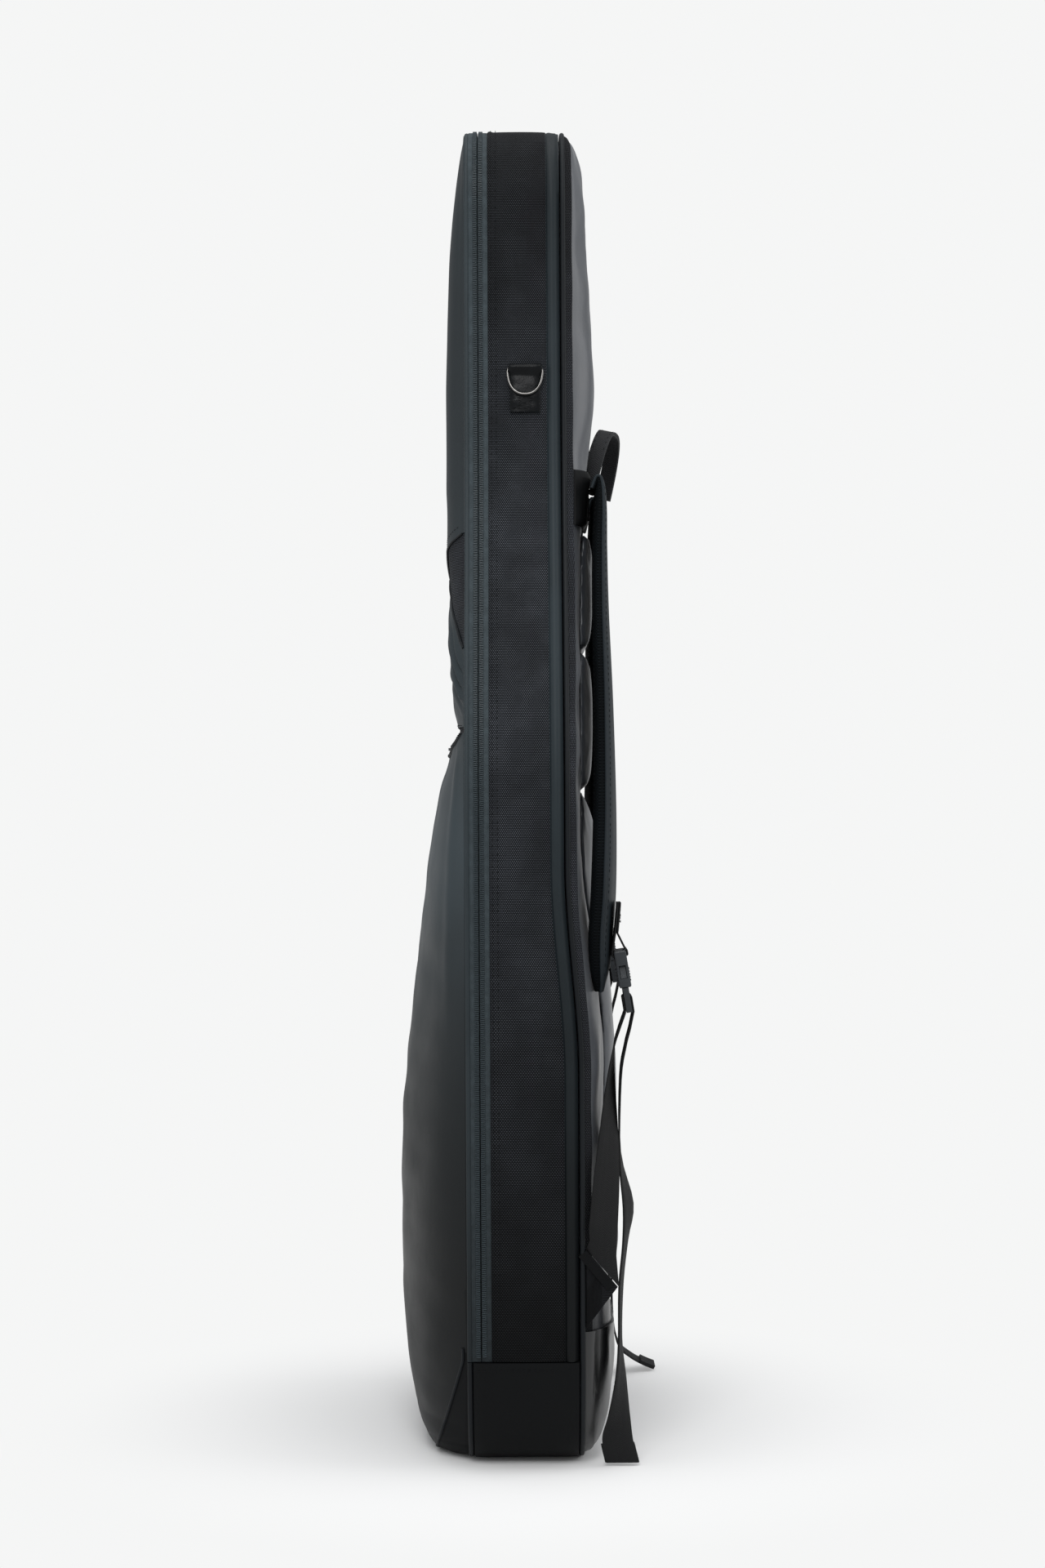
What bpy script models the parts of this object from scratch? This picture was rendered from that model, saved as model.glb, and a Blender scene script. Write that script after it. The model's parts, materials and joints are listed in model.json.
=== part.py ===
"""A soft padded gig bag for an electric guitar, standing upright on its base.

Frame: metres, +Z up, origin on the floor in the middle of the base. X runs across the bag's
width, the front lid faces -Y and the padded back, with its shoulder straps, faces +Y.
The lid folds forward about a line across its front at the height where the main zip ends.
"""

import math

import bmesh
import bpy
import numpy as np
from mathutils import Matrix, Vector
from mathutils.geometry import interpolate_bezier

# Overall size of the shell
SEAM_HEIGHT = 1.036
HALF_WIDTH = 0.190
BASE_HALF_WIDTH = 0.105
FRONT_SEAM_Y = -0.0415
BACK_SEAM_TOP_Y = 0.0335
BACK_SEAM_LOW_Y = 0.043
FRONT_BULGE = 0.0155
BACK_BULGE = 0.024
POCKET_BULGE = 0.051
FOLD_HEIGHT = 0.086

# Clearances between sewn or seated pieces
SEAT = 0.0003
SOFT_SEAT = 0.0006

# Walls, trims and zips
GUSSET_WALL = 0.008
BOOT_WALL = 0.009
PANEL_PADDING = 0.008
RIM_THICKNESS = 0.003
POCKET_CLOTH = 0.002
BOOT_SKIN = 0.0025
PIPING_RADIUS = 0.002
PIPING_SIDES = 6
TAPE_THICKNESS = 0.0015
ZIP_LINE_Y = -0.0328
ZIP_SPLIT = 0.0006
GUSSET_FRONT_Y = -0.0255
PANEL_INSET = 2 * PIPING_RADIUS + 2 * SEAT

# Right half of the outline, from the end of the flat base to the crown. Each span has two
# handles and an end point, as shares of the half width and of the height.
OUTLINE_SPAN_SHARES = (
    ((0.780, 0.000), (0.903, 0.040), (0.937, 0.082)),
    ((0.972, 0.125), (1.000, 0.185), (1.000, 0.257)),
    ((1.000, 0.330), (1.000, 0.400), (1.000, 0.468)),
    ((1.000, 0.575), (0.655, 0.640), (0.580, 0.755)),
    ((0.545, 0.810), (0.530, 0.870), (0.530, 0.930)),
    ((0.530, 0.980), (0.420, 1.000), (0.210, 1.000)),
)
SPAN_STEPS = 40

# Heights of the rows that every sewn surface shares, as shares of the height
LEVEL_SHARES = (0.004, 0.014, 0.030, 0.052, 0.120, 0.160, 0.210, 0.260, 0.320, 0.380, 0.430,
                0.470, 0.570, 0.600, 0.630, 0.660, 0.720, 0.755, 0.800, 0.850, 0.900, 0.930,
                0.955, 0.973, 0.986, 0.995)

# Places across a surface, from seam to seam, as shares of its half width
COLUMN_SHARES = (-1.0, -0.95, -0.86, -0.70, -0.35, 0.0, 0.35, 0.70, 0.86, 0.95, 1.0)
FLAT_SHARE = 0.70
POCKET_ROUNDNESS = 3.4
TOE_ROUNDNESS = 6.0
TOE_CORNER_HEIGHT = 0.030

# How far each surface stands out of its seam plane down the bag's middle: height share and
# share of that surface's bulge
FRONT_DEPTH_SHARES = ((0.0, 0.0), (0.014, 0.10), (0.052, 0.35), (0.082, 0.44), (0.19, 0.50),
                      (0.52, 0.55), (0.60, 0.55), (0.63, 0.58), (0.66, 0.67), (0.69, 0.84),
                      (0.72, 1.0), (0.80, 1.0), (0.85, 0.92), (0.90, 0.77), (0.93, 0.62),
                      (0.955, 0.45), (0.973, 0.30), (0.986, 0.18), (0.995, 0.08), (1.0, 0.0))
BACK_DEPTH_SHARES = ((0.0, 0.12), (0.004, 0.25), (0.014, 0.50), (0.030, 0.70), (0.052, 0.84),
                     (0.082, 0.92), (0.120, 0.85), (0.160, 0.70), (0.210, 0.65), (0.260, 0.65),
                     (0.320, 0.67), (0.380, 0.61), (0.430, 0.43), (0.470, 0.37), (0.500, 0.35),
                     (0.570, 0.37), (0.630, 0.40), (0.660, 0.42), (0.690, 0.50), (0.720, 0.59),
                     (0.755, 0.80), (0.800, 0.94), (0.850, 0.91), (0.900, 0.86), (0.930, 0.80),
                     (0.955, 0.70), (0.973, 0.56), (0.986, 0.40), (0.995, 0.22), (1.0, 0.0))
POCKET_DEPTH_SHARES = ((0.0, 0.50), (0.006, 0.60), (0.014, 0.70), (0.030, 0.80), (0.052, 0.88),
                       (0.082, 0.95), (0.12, 0.99), (0.16, 1.0), (0.21, 1.0), (0.26, 0.945),
                       (0.32, 0.83), (0.38, 0.71), (0.43, 0.585), (0.47, 0.465), (0.50, 0.36),
                       (0.521, 0.265))
UPPER_POCKET_RISE_SHARES = ((0.0, 0.25), (0.12, 0.55), (0.30, 0.95), (0.55, 1.0), (0.80, 0.80),
                            (1.0, 0.25))
BACK_SEAM_TURN_SHARES = (0.29, 0.44)

# Pockets on the lid
POCKET_MOUTH_SHARE = 0.52606
POCKET_MOUTH = POCKET_MOUTH_SHARE * SEAM_HEIGHT
UPPER_POCKET_SHARES = (0.54537, 0.69112)
UPPER_POCKET_BASE, UPPER_POCKET_TOP = (share * SEAM_HEIGHT for share in UPPER_POCKET_SHARES)
UPPER_POCKET_RISE = 0.0045
POCKET_RIM_STEP = 0.004
TOE_FLOOR_WALL = 0.0025
TOE_REAR_GAP = 0.0015
WELT_RADIUS = 0.0018
WELT_SPAN_SHARE = 0.86

# Back padding: bottom and top as shares of the height, and half width as a share of the bag's
# half width there
PAD_THICKNESS = 0.0075
PAD_PLACE_SHARES = {
    "back_pad_upper": (0.60232, 0.68919, 0.76),
    "back_pad_middle": (0.49807, 0.59653, 0.76),
    "back_pad_lower": (0.12548, 0.49228, 0.62),
}
PAD_ROW_SHARES = (0.0, 0.035, 0.10, 0.25, 0.75, 0.90, 0.965, 1.0)
PAD_ROW_CROWN_SHARES = (0.22, 0.62, 0.90, 1.0, 1.0, 0.90, 0.62, 0.22)
PAD_ROW_WIDTH_SHARES = (0.84, 0.93, 0.99, 1.0, 1.0, 0.99, 0.93, 0.84)
PAD_COLUMN_SHARES = (-1.0, -0.93, -0.80, -0.40, 0.0, 0.40, 0.80, 0.93, 1.0)
PAD_COLUMN_CROWN_SHARES = (0.22, 0.62, 0.90, 1.0, 1.0, 1.0, 0.90, 0.62, 0.22)
BACK_BOOT_TOP = 0.108

# Neck rest and bumper inside the bag
CRADLE_SHARES = (0.70946, 0.76737)
CRADLE_HALF_WIDTH = 0.058
CRADLE_TOP_Y = 0.004
CHANNEL_HALF_WIDTH = 0.030
CHANNEL_DEPTH = 0.019
CHANNEL_STEPS = 8
NECK_STRAP_SHARES = (0.72587, 0.75097)
NECK_STRAP_THICKNESS = 0.002
NECK_STRAP_PIVOT_X = 0.047
NECK_STRAP_PARTING = 0.001
BUMPER_HALF_WIDTH = 0.096
BUMPER_HEIGHT = 0.028
BUMPER_Y = (-0.030, 0.034)

# D rings on both sides of the neck
RING_Y = 0.0035
RING_BAR_SHARE = 0.81033
RING_BAR_HEIGHT = RING_BAR_SHARE * SEAM_HEIGHT
RING_WIRE_RADIUS = 0.0015
RING_HALF_WIDTH = 0.0139
RING_DROP = 0.0215
RING_LEAN = math.radians(9.5)
RING_STEPS = 16
WIRE_SIDES = 8
TAB_HALF_WIDTH = 0.0115
TAB_THICKNESS = 0.0013
TAB_DROP = 0.034
TAB_MIDDLE_DROP = 0.022
TAB_CLOSING_DROP = 0.010
TAB_TURN_STEPS = 6

# Grab handle at the top of the back
HANDLE_HALF_SPAN = 0.044
HANDLE_RISE = 0.050
HANDLE_BASE_SHARES = (0.70077, 0.73069)
HANDLE_BASE_HALF_SPAN = 0.052
HANDLE_BASE_THICKNESS = 0.0026
HANDLE_PIVOT_DROP = 0.004
HANDLE_LEAN = math.radians(13)
HANDLE_WEB_WIDTH = 0.013
HANDLE_WEB_THICKNESS = 0.003
HANDLE_STEPS = 12

# Carrying handle on the far side
CARRY_CENTRE_SHARE = 0.37645
CARRY_CENTRE_Z = CARRY_CENTRE_SHARE * SEAM_HEIGHT
CARRY_HALF_SPAN = 0.082
CARRY_RISE = 0.030
CARRY_Y = 0.010
CARRY_WEB_HALF_WIDTH = 0.0125
CARRY_WEB_THICKNESS = 0.0028
CARRY_PATCH_LENGTH = 0.040
CARRY_PATCH_OVERHANG = 0.003
CARRY_PATCH_THICKNESS = 0.0018
CARRY_BEND_SHARE = 0.75
GRIP_HALF_LENGTH = 0.044
GRIP_PADDING = 0.0045
GRIP_SEAM = 0.0006
GRIP_ROUND_SHARE = 0.7
CARRY_STEPS = 12

# Shoulder straps: centre line as shares of the half width, of the back's reach and of the
# height, then the half width and half thickness as shares of the fullest ones
BACK_REACH = BACK_SEAM_LOW_Y + BACK_BULGE
STRAP_HALF_WIDTH = 0.034
STRAP_HALF_THICKNESS = 0.0062
STRAP_ROUTE_SHARES = (
    (0.437, 0.832, 0.7212, 0.80, 0.30, 0.00),
    (0.437, 0.890, 0.7303, 0.80, 0.34, 0.00),
    (0.440, 0.925, 0.7268, 0.81, 0.48, 0.00),
    (0.447, 0.928, 0.7101, 0.86, 0.74, 0.01),
    (0.465, 0.913, 0.6748, 0.94, 0.97, 0.03),
    (0.510, 0.913, 0.6264, 1.00, 1.00, 0.05),
    (0.589, 0.928, 0.5588, 1.00, 1.00, 0.07),
    (0.684, 0.930, 0.4822, 1.00, 1.00, 0.09),
    (0.763, 0.913, 0.4236, 0.92, 0.97, 0.11),
    (0.805, 0.878, 0.3904, 0.72, 0.88, 0.09),
    (0.830, 0.863, 0.3661, 0.44, 0.70, 0.06),
    (0.842, 0.854, 0.3490, 0.12, 0.40, 0.04),
)
STRAP_SECTION_SHARES = ((-1.0, -0.25), (-0.90, -1.0), (0.90, -1.0), (1.0, -0.25), (1.0, 0.25),
                        (0.90, 1.0), (-0.90, 1.0), (-1.0, 0.25))
STRAP_STEPS = 3
ANCHOR_SHARES = (0.69257, 0.73504)
ANCHOR_COLUMN_SHARES = (0.50, 0.62, 0.70, 0.80, 0.88, 0.94, 0.99)
ANCHOR_THICKNESS = 0.003
ANCHOR_CLEARANCE = 0.0012

# Webbing and buckle of a shoulder strap
WEB_HALF_WIDTH = 0.0122
WEB_THICKNESS = 0.0014
BUCKLE_X_SHARE = 0.815
BUCKLE_TOP_Y = 0.0722
BUCKLE_TOP_SHARE = 0.37886
BUCKLE_TOP_Z = BUCKLE_TOP_SHARE * SEAM_HEIGHT
BUCKLE_TILT = math.radians(9)
BUCKLE_HALF_WIDTH = 0.0160
BUCKLE_HALF_DEPTH = 0.0046
SOCKET_LENGTH = 0.028
SOCKET_WALL = 0.0020
SOCKET_BAR_RADIUS = 0.0016
SOCKET_SLOT = 0.0040
SOCKET_WINDOW_LENGTH = 0.0100
SOCKET_WINDOW_DROP = 0.0100
SOCKET_CORNER = 0.0012
PLUG_CLEARANCE = 0.0003
PLUG_FRAME_LENGTH = 0.0185
PLUG_BAR = 0.0034
PLUG_SLOT = 0.0044
PLUG_HALF_DEPTH = 0.0022
PRONG_WIDTH = 0.0030
PRONG_BARB = 0.0022
GUIDE_HALF_WIDTH = 0.0022
STRAP_TAB_LENGTH = 0.036
TAB_CLEARANCE = 0.0010
TAB_SEWN_SHARES = (0.36, 0.68, 1.0)
TURN_STEPS = 2

# Lower strap anchors sewn into the back seam: both ends on the seam and the free corner, as
# shares of the height, and how far behind the seam that corner is
LOWER_ANCHOR_SHARES = (0.10763, 0.16506)
LOWER_ANCHOR_TIP_SHARE = 0.13803
LOWER_ANCHOR_REACH = 0.0235
LOWER_ANCHOR_THICKNESS = 0.0022

# Adjusting webbing below the buckle: centre line as shares of the half width, of the back's
# reach and of the height, then its twist as a share of a quarter turn
LOAD_ROUTE_SHARES = ((0.970, 0.873, 0.1805, 0.70), (0.943, 0.913, 0.2148, 0.60),
                     (0.905, 0.943, 0.2471, 0.40), (0.863, 0.970, 0.2825, 0.18),
                     (0.830, 1.015, 0.3087, 0.03), (0.817, 1.078, 0.3227, 0.00))
TAIL_ROUTE_SHARES = {
    "near": ((0.815, 1.194, 0.3223, 0.00), (0.813, 1.142, 0.3088, 0.00),
             (0.805, 1.087, 0.2852, 0.00), (0.789, 1.078, 0.2293, 0.00),
             (0.784, 1.187, 0.1917, 0.00), (0.784, 1.152, 0.1599, 0.00),
             (0.784, 1.097, 0.1204, 0.00), (0.784, 1.090, 0.0867, 0.00),
             (0.789, 1.078, 0.0578, 0.10), (0.789, 1.045, 0.0385, 0.50),
             (0.768, 0.997, 0.0193, 0.95), (0.747, 1.067, 0.0022, 1.00)),
    "far": ((0.815, 1.194, 0.3223, 0.00), (0.813, 1.142, 0.3088, 0.00),
            (0.805, 1.087, 0.2852, 0.00), (0.789, 1.078, 0.2293, 0.00),
            (0.784, 1.157, 0.1917, 0.00), (0.789, 1.134, 0.1416, 0.00),
            (0.816, 1.119, 0.0857, 0.00), (0.863, 1.142, 0.0482, 0.00),
            (0.905, 1.216, 0.0265, 0.00), (0.958, 1.366, 0.0154, 0.00),
            (1.011, 1.537, 0.0072, 0.00), (1.047, 1.687, 0.0019, 0.00)),
}
WEB_STEPS = 2

# Main zip sliders on the straight stretch of the far side, the pocket's slider, and pulls
SLIDER_LENGTH = 0.016
SLIDER_HALF_WIDTH = 0.0048
SLIDER_THICKNESS = 0.0022
SLIDER_NOSE_SHARE = 0.62
SLIDER_MEET_SHARE = 0.38610
SLIDER_MEET_Z = SLIDER_MEET_SHARE * SEAM_HEIGHT
SLIDER_PARTING = 0.0006
BAIL_HALF_LENGTH = 0.0034
BAIL_SETBACK = 0.0030
BAIL_RISE = 0.0042
BAIL_WIDTH = 0.0026
BAIL_WIRE = 0.0011
PULL_OFFSET = 0.00155
PULL_SETBACK = 0.0007
PULL_LENGTH = 0.0185
PULL_HALF_WIDTH = 0.0030
PULL_THICKNESS = 0.0013
PULL_CROSSBAR = 0.0012
PULL_EYE_LENGTH = 0.0042
POCKET_SLIDER_X = 0.066

# Finishes: colour, roughness and metallic value
FINISHES = {
    "canvas": ((0.030, 0.036, 0.042), 0.80, 0.0),
    "boot_cloth": ((0.010, 0.011, 0.012), 0.75, 0.0),
    "smooth_cloth": ((0.022, 0.028, 0.033), 0.55, 0.0),
    "zip_tape": ((0.045, 0.055, 0.060), 0.85, 0.0),
    "piping": ((0.014, 0.016, 0.018), 0.60, 0.0),
    "back_cloth": ((0.030, 0.034, 0.038), 0.50, 0.0),
    "webbing": ((0.014, 0.012, 0.011), 0.80, 0.0),
    "strap_cloth": ((0.016, 0.020, 0.024), 0.75, 0.0),
    "leather": ((0.010, 0.011, 0.012), 0.45, 0.0),
    "foam": ((0.060, 0.060, 0.062), 0.90, 0.0),
    "chrome": ((0.70, 0.68, 0.66), 0.15, 1.0),
    "buckle_plastic": ((0.012, 0.013, 0.015), 0.40, 0.0),
    "dark_metal": ((0.10, 0.10, 0.11), 0.35, 1.0),
}


# Scene and object helpers

def clear_scene():
    for old in list(bpy.data.objects):
        bpy.data.objects.remove(old, do_unlink=True)


def finish(name):
    """Material of one finish, made the first time it is asked for."""
    if name in bpy.data.materials:
        return bpy.data.materials[name]
    colour, roughness, metallic = FINISHES[name]
    material = bpy.data.materials.new(name)
    material.use_nodes = True
    shader = material.node_tree.nodes["Principled BSDF"]
    shader.inputs["Base Color"].default_value = (*colour, 1.0)
    shader.inputs["Roughness"].default_value = roughness
    shader.inputs["Metallic"].default_value = metallic
    return material


def add_pivot(name, place, parent=None):
    """Empty on a joint axis, which carries the pieces that turn or slide there."""
    pivot = bpy.data.objects.new(name, None)
    bpy.context.collection.objects.link(pivot)
    pivot["place"] = tuple(place)
    pivot.parent = parent
    base = Vector(parent["place"]) if parent else Vector()
    pivot.location = Vector(place) - base
    return pivot


def add_piece(name, points, faces, finish_name, carrier=None, smooth=True):
    """Object whose mesh has the given world points, with its origin on its carrier."""
    origin = Vector(carrier["place"]) if carrier else Vector()
    mesh = bpy.data.meshes.new(name)
    mesh.from_pydata([Vector(point) - origin for point in points], [], faces)
    shape = bmesh.new()
    shape.from_mesh(mesh)
    bmesh.ops.recalc_face_normals(shape, faces=shape.faces)
    shape.to_mesh(mesh)
    shape.free()
    if smooth:
        mesh.shade_smooth()
        mesh.set_sharp_from_angle(angle=math.radians(40))
    mesh.materials.append(finish(finish_name))
    piece = bpy.data.objects.new(name, mesh)
    piece.parent = carrier
    bpy.context.collection.objects.link(piece)
    return piece


def cut(piece, cutter):
    """Boolean difference that stays on the piece as a modifier; the cutter is only a guide."""
    cutter.hide_render = True
    cutter.display_type = "WIRE"
    modifier = piece.modifiers.new("cut_" + cutter.name, "BOOLEAN")
    modifier.operation = "DIFFERENCE"
    modifier.object = cutter


# Solids from rows of points

def slab(name, outer, inner, finish_name, carrier=None):
    """Closed solid between two grids of points that have the same rows and columns."""
    rows, columns = len(outer), len(outer[0])
    points = [point for grid in (outer, inner) for row in grid for point in row]
    back = rows * columns

    def corner(row, column, side=0):
        return side + row * columns + column

    faces = []
    for row in range(rows - 1):
        for column in range(columns - 1):
            for side in (0, back):
                a = corner(row, column, side)
                b = corner(row, column + 1, side)
                c = corner(row + 1, column + 1, side)
                d = corner(row + 1, column, side)
                faces += [(a, b, c), (a, c, d)]
    for row in range(rows - 1):
        for column in (0, columns - 1):
            a, b = corner(row, column), corner(row + 1, column)
            faces.append((a, b, b + back, a + back))
    for column in range(columns - 1):
        for row in (0, rows - 1):
            a, b = corner(row, column), corner(row, column + 1)
            faces.append((a, b, b + back, a + back))
    return add_piece(name, points, faces, finish_name, carrier)


def sweep(name, rings, finish_name, closed=False, carrier=None):
    """Solid through rings of points; a closed sweep joins its last ring to its first."""
    sides = len(rings[0])
    points = [point for ring in rings for point in ring]
    faces = []
    count = len(rings)
    for index in range(count if closed else count - 1):
        here, there = index * sides, (index + 1) % count * sides
        for side in range(sides):
            after = (side + 1) % sides
            faces.append((here + side, here + after, there + after, there + side))
    if not closed:
        faces.append(tuple(range(sides)))
        faces.append(tuple(range((count - 1) * sides, count * sides)))
    return add_piece(name, points, faces, finish_name, carrier)


def tube_rings(path, radius, sides, closed=False):
    """Rings of a round tube along a path, turned with the path."""
    rings = []
    count = len(path)
    lift = None
    for index, point in enumerate(path):
        ahead = path[(index + 1) % count] if closed or index < count - 1 else point
        behind = path[index - 1] if closed or index > 0 else point
        along = (Vector(ahead) - Vector(behind)).normalized()
        if lift is None:
            lift = along.orthogonal().normalized()
        lift = (lift - along * lift.dot(along)).normalized()
        side = along.cross(lift)
        ring = []
        for step in range(sides):
            turn = 2 * math.pi * step / sides
            offset = lift * math.cos(turn) + side * math.sin(turn)
            ring.append(Vector(point) + offset * radius)
        rings.append(ring)
    return rings


def spline(rows, steps):
    """Rows of numbers joined by a smooth curve with the given steps between rows."""
    table = np.array(rows, dtype=float)
    ends = np.vstack([2 * table[0] - table[1], table, 2 * table[-1] - table[-2]])
    result = []
    for index in range(1, len(ends) - 2):
        before, here, there, after = ends[index - 1:index + 3]
        for step in range(steps):
            t = step / steps
            bend = (2 * before - 5 * here + 4 * there - after) * t * t
            bend = bend + (3 * here - before - 3 * there + after) * t * t * t
            result.append(0.5 * (2 * here + (there - before) * t + bend))
    result.append(ends[-2])
    return result


def ribbon_rings(path, halves, thickness):
    """Rings of a flat strap: centre points, half width vectors and its thickness."""
    rings = []
    for index, point in enumerate(path):
        ahead = path[min(index + 1, len(path) - 1)]
        behind = path[max(index - 1, 0)]
        along = Vector(ahead) - Vector(behind)
        half = Vector(halves[index])
        rise = half.cross(along).normalized() * thickness / 2
        centre = Vector(point)
        rings.append([centre - half - rise, centre + half - rise,
                      centre + half + rise, centre - half + rise])
    return rings


# The bag's outline

def outline_curve():
    """Dense points of the right half of the outline, from the base's end to the crown."""
    points = []
    here = Vector((BASE_HALF_WIDTH, 0.0))
    for spans in OUTLINE_SPAN_SHARES:
        knots = [Vector((share_x * HALF_WIDTH, share_z * SEAM_HEIGHT))
                 for share_x, share_z in spans]
        curve = interpolate_bezier(here, knots[0], knots[1], knots[2], SPAN_STEPS)
        points += curve[:-1]
        here = knots[2]
    points.append(here)
    return points


CURVE = outline_curve()
CURVE_X = [point[0] for point in CURVE]
CURVE_Z = [point[1] for point in CURVE]


def half_width(height):
    return float(np.interp(height, CURVE_Z, CURVE_X))


def rim_point(height, inset):
    """Point of the right rim at a height, moved in from the outline, as (x, z)."""
    place = int(np.searchsorted(CURVE_Z, height, side="left"))
    place = min(max(place, 1), len(CURVE) - 1)
    if height <= 0.0:
        along = Vector((1.0, 0.0))
    elif height >= SEAM_HEIGHT:
        along = Vector((-1.0, 0.0))
    else:
        along = (CURVE[place] - CURVE[place - 1]).normalized()
    inward = Vector((-along[1], along[0]))
    return Vector((half_width(height), height)) + inward * inset


def levels(low, high):
    """Row heights from low to high: both ends and the shared rows between them."""
    named = (FOLD_HEIGHT, POCKET_MOUTH, UPPER_POCKET_BASE, UPPER_POCKET_TOP, BACK_BOOT_TOP)
    rows = sorted([share * SEAM_HEIGHT for share in LEVEL_SHARES] + list(named))
    clear = FOLD_HEIGHT * 0.02
    return [low] + [row for row in rows if low + clear < row < high - clear] + [high]


def rim_loop(inset):
    """Rim all the way round: up the right side and down the left."""
    right = [rim_point(height, inset) for height in levels(0.0, SEAM_HEIGHT)]
    heights = levels(0.0, SEAM_HEIGHT)
    loop = [(point[0], point[1], height) for point, height in zip(right, heights)]
    return loop + [(-x, z, height) for x, z, height in reversed(loop)]


def rim_arch(inset, low):
    """Rim from a height on the right, over the crown, down to that height on the left."""
    heights = levels(low, SEAM_HEIGHT)
    arch = [(*rim_point(height, inset), height) for height in heights]
    return arch + [(-x, z, height) for x, z, height in reversed(arch)]


def rim_half(inset, low, side):
    """Rim on one side, from a height up to the seam in the middle of the crown."""
    heights = levels(low, SEAM_HEIGHT)
    half = [(*rim_point(height, inset), height) for height in heights]
    half.append((SEAT / 2, half[-1][1], SEAM_HEIGHT))
    return [(side * x, z, height) for x, z, height in half]


def rim_cup(inset, high):
    """Rim from a height on the left, under the base, up to that height on the right."""
    heights = levels(0.0, high)
    right = [(*rim_point(height, inset), height) for height in heights]
    return [(-x, z, height) for x, z, height in reversed(right)] + right


def back_seam_y(height):
    """The bag is a little deeper at its body than at its neck."""
    low, high = (share * SEAM_HEIGHT for share in BACK_SEAM_TURN_SHARES)
    t = min(max((height - low) / (high - low), 0.0), 1.0)
    t = t * t * (3 - 2 * t)
    return BACK_SEAM_LOW_Y + (BACK_SEAM_TOP_Y - BACK_SEAM_LOW_Y) * t


# Surfaces of the sewn panels

def depth(table, bulge, height):
    shares = [row[0] * SEAM_HEIGHT for row in table]
    values = [row[1] * bulge for row in table]
    return float(np.interp(height, shares, values))


def padded_profile(column):
    """Flat in the middle and rounded down to the seams."""
    over = max(abs(column) - FLAT_SHARE, 0.0) / (1.0 - FLAT_SHARE)
    return 1.0 - over * over


def round_profile(height, column):
    """Rounded across the pocket, and boxier towards the floor."""
    share = min(height / TOE_CORNER_HEIGHT, 1.0)
    roundness = TOE_ROUNDNESS + (POCKET_ROUNDNESS - TOE_ROUNDNESS) * share
    return 1.0 - abs(column) ** roundness


def front_y(height, column):
    """Outer face of the lid's padded panel."""
    rim = FRONT_SEAM_Y - RIM_THICKNESS / 2
    return rim - depth(FRONT_DEPTH_SHARES, FRONT_BULGE, height) * padded_profile(column)


def front_inner_y(height, column):
    inner = max(depth(FRONT_DEPTH_SHARES, FRONT_BULGE, height) - PANEL_PADDING, 0.0)
    return FRONT_SEAM_Y + RIM_THICKNESS / 2 - inner * padded_profile(column)


def back_y(height, column):
    """Outer face of the padded back panel."""
    rim = back_seam_y(height) + RIM_THICKNESS / 2
    return rim + depth(BACK_DEPTH_SHARES, BACK_BULGE, height) * padded_profile(column)


def back_skin_y(height, column):
    """Outer face of the back panel between its rows, where it runs straight."""
    rows = levels(0.0, SEAM_HEIGHT)
    return float(np.interp(height, rows, [back_y(row, column) for row in rows]))


def back_inner_y(height, column):
    inner = max(depth(BACK_DEPTH_SHARES, BACK_BULGE, height) - PANEL_PADDING, 0.0)
    return back_seam_y(height) - RIM_THICKNESS / 2 + inner * padded_profile(column)


def pocket_y(height, column):
    """Outer face of the big lower pocket."""
    rim = front_y(height, 1.0) - POCKET_RIM_STEP
    return rim - depth(POCKET_DEPTH_SHARES, POCKET_BULGE, height) * round_profile(height, column)


def upper_pocket_y(height, column):
    """Outer face of the flat upper pocket."""
    share = (height - UPPER_POCKET_BASE) / (UPPER_POCKET_TOP - UPPER_POCKET_BASE)
    rises = [row[0] for row in UPPER_POCKET_RISE_SHARES]
    values = [row[1] for row in UPPER_POCKET_RISE_SHARES]
    rise = float(np.interp(share, rises, values)) * UPPER_POCKET_RISE
    return front_y(height, column) - POCKET_CLOTH - SOFT_SEAT - rise * round_profile(height, column)


def surface_grid(heights, columns, inset, y_of):
    """Grid of points of a sewn surface, whose ends lie on the rim."""
    grid = []
    for height in heights:
        x_rim, z_rim = rim_point(height, inset)
        grid.append([(column * x_rim, y_of(height, column), z_rim) for column in columns])
    return grid


def shift_y(grid, step):
    return [[(x, y + step, z) for x, y, z in row] for row in grid]


# Shell of the bag

def make_band(name, rim, inset, wall, front, back, finish_name, carrier=None, closed=False):
    outer = rim(inset)
    inner = rim(inset + wall)
    rings = []
    for (x_out, z_out, height), (x_in, z_in, _) in zip(outer, inner):
        y_front, y_back = front(height), back(height)
        rings.append([(x_out, y_front, z_out), (x_out, y_back, z_out),
                      (x_in, y_back, z_in), (x_in, y_front, z_in)])
    return sweep(name, rings, finish_name, closed, carrier)


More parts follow.
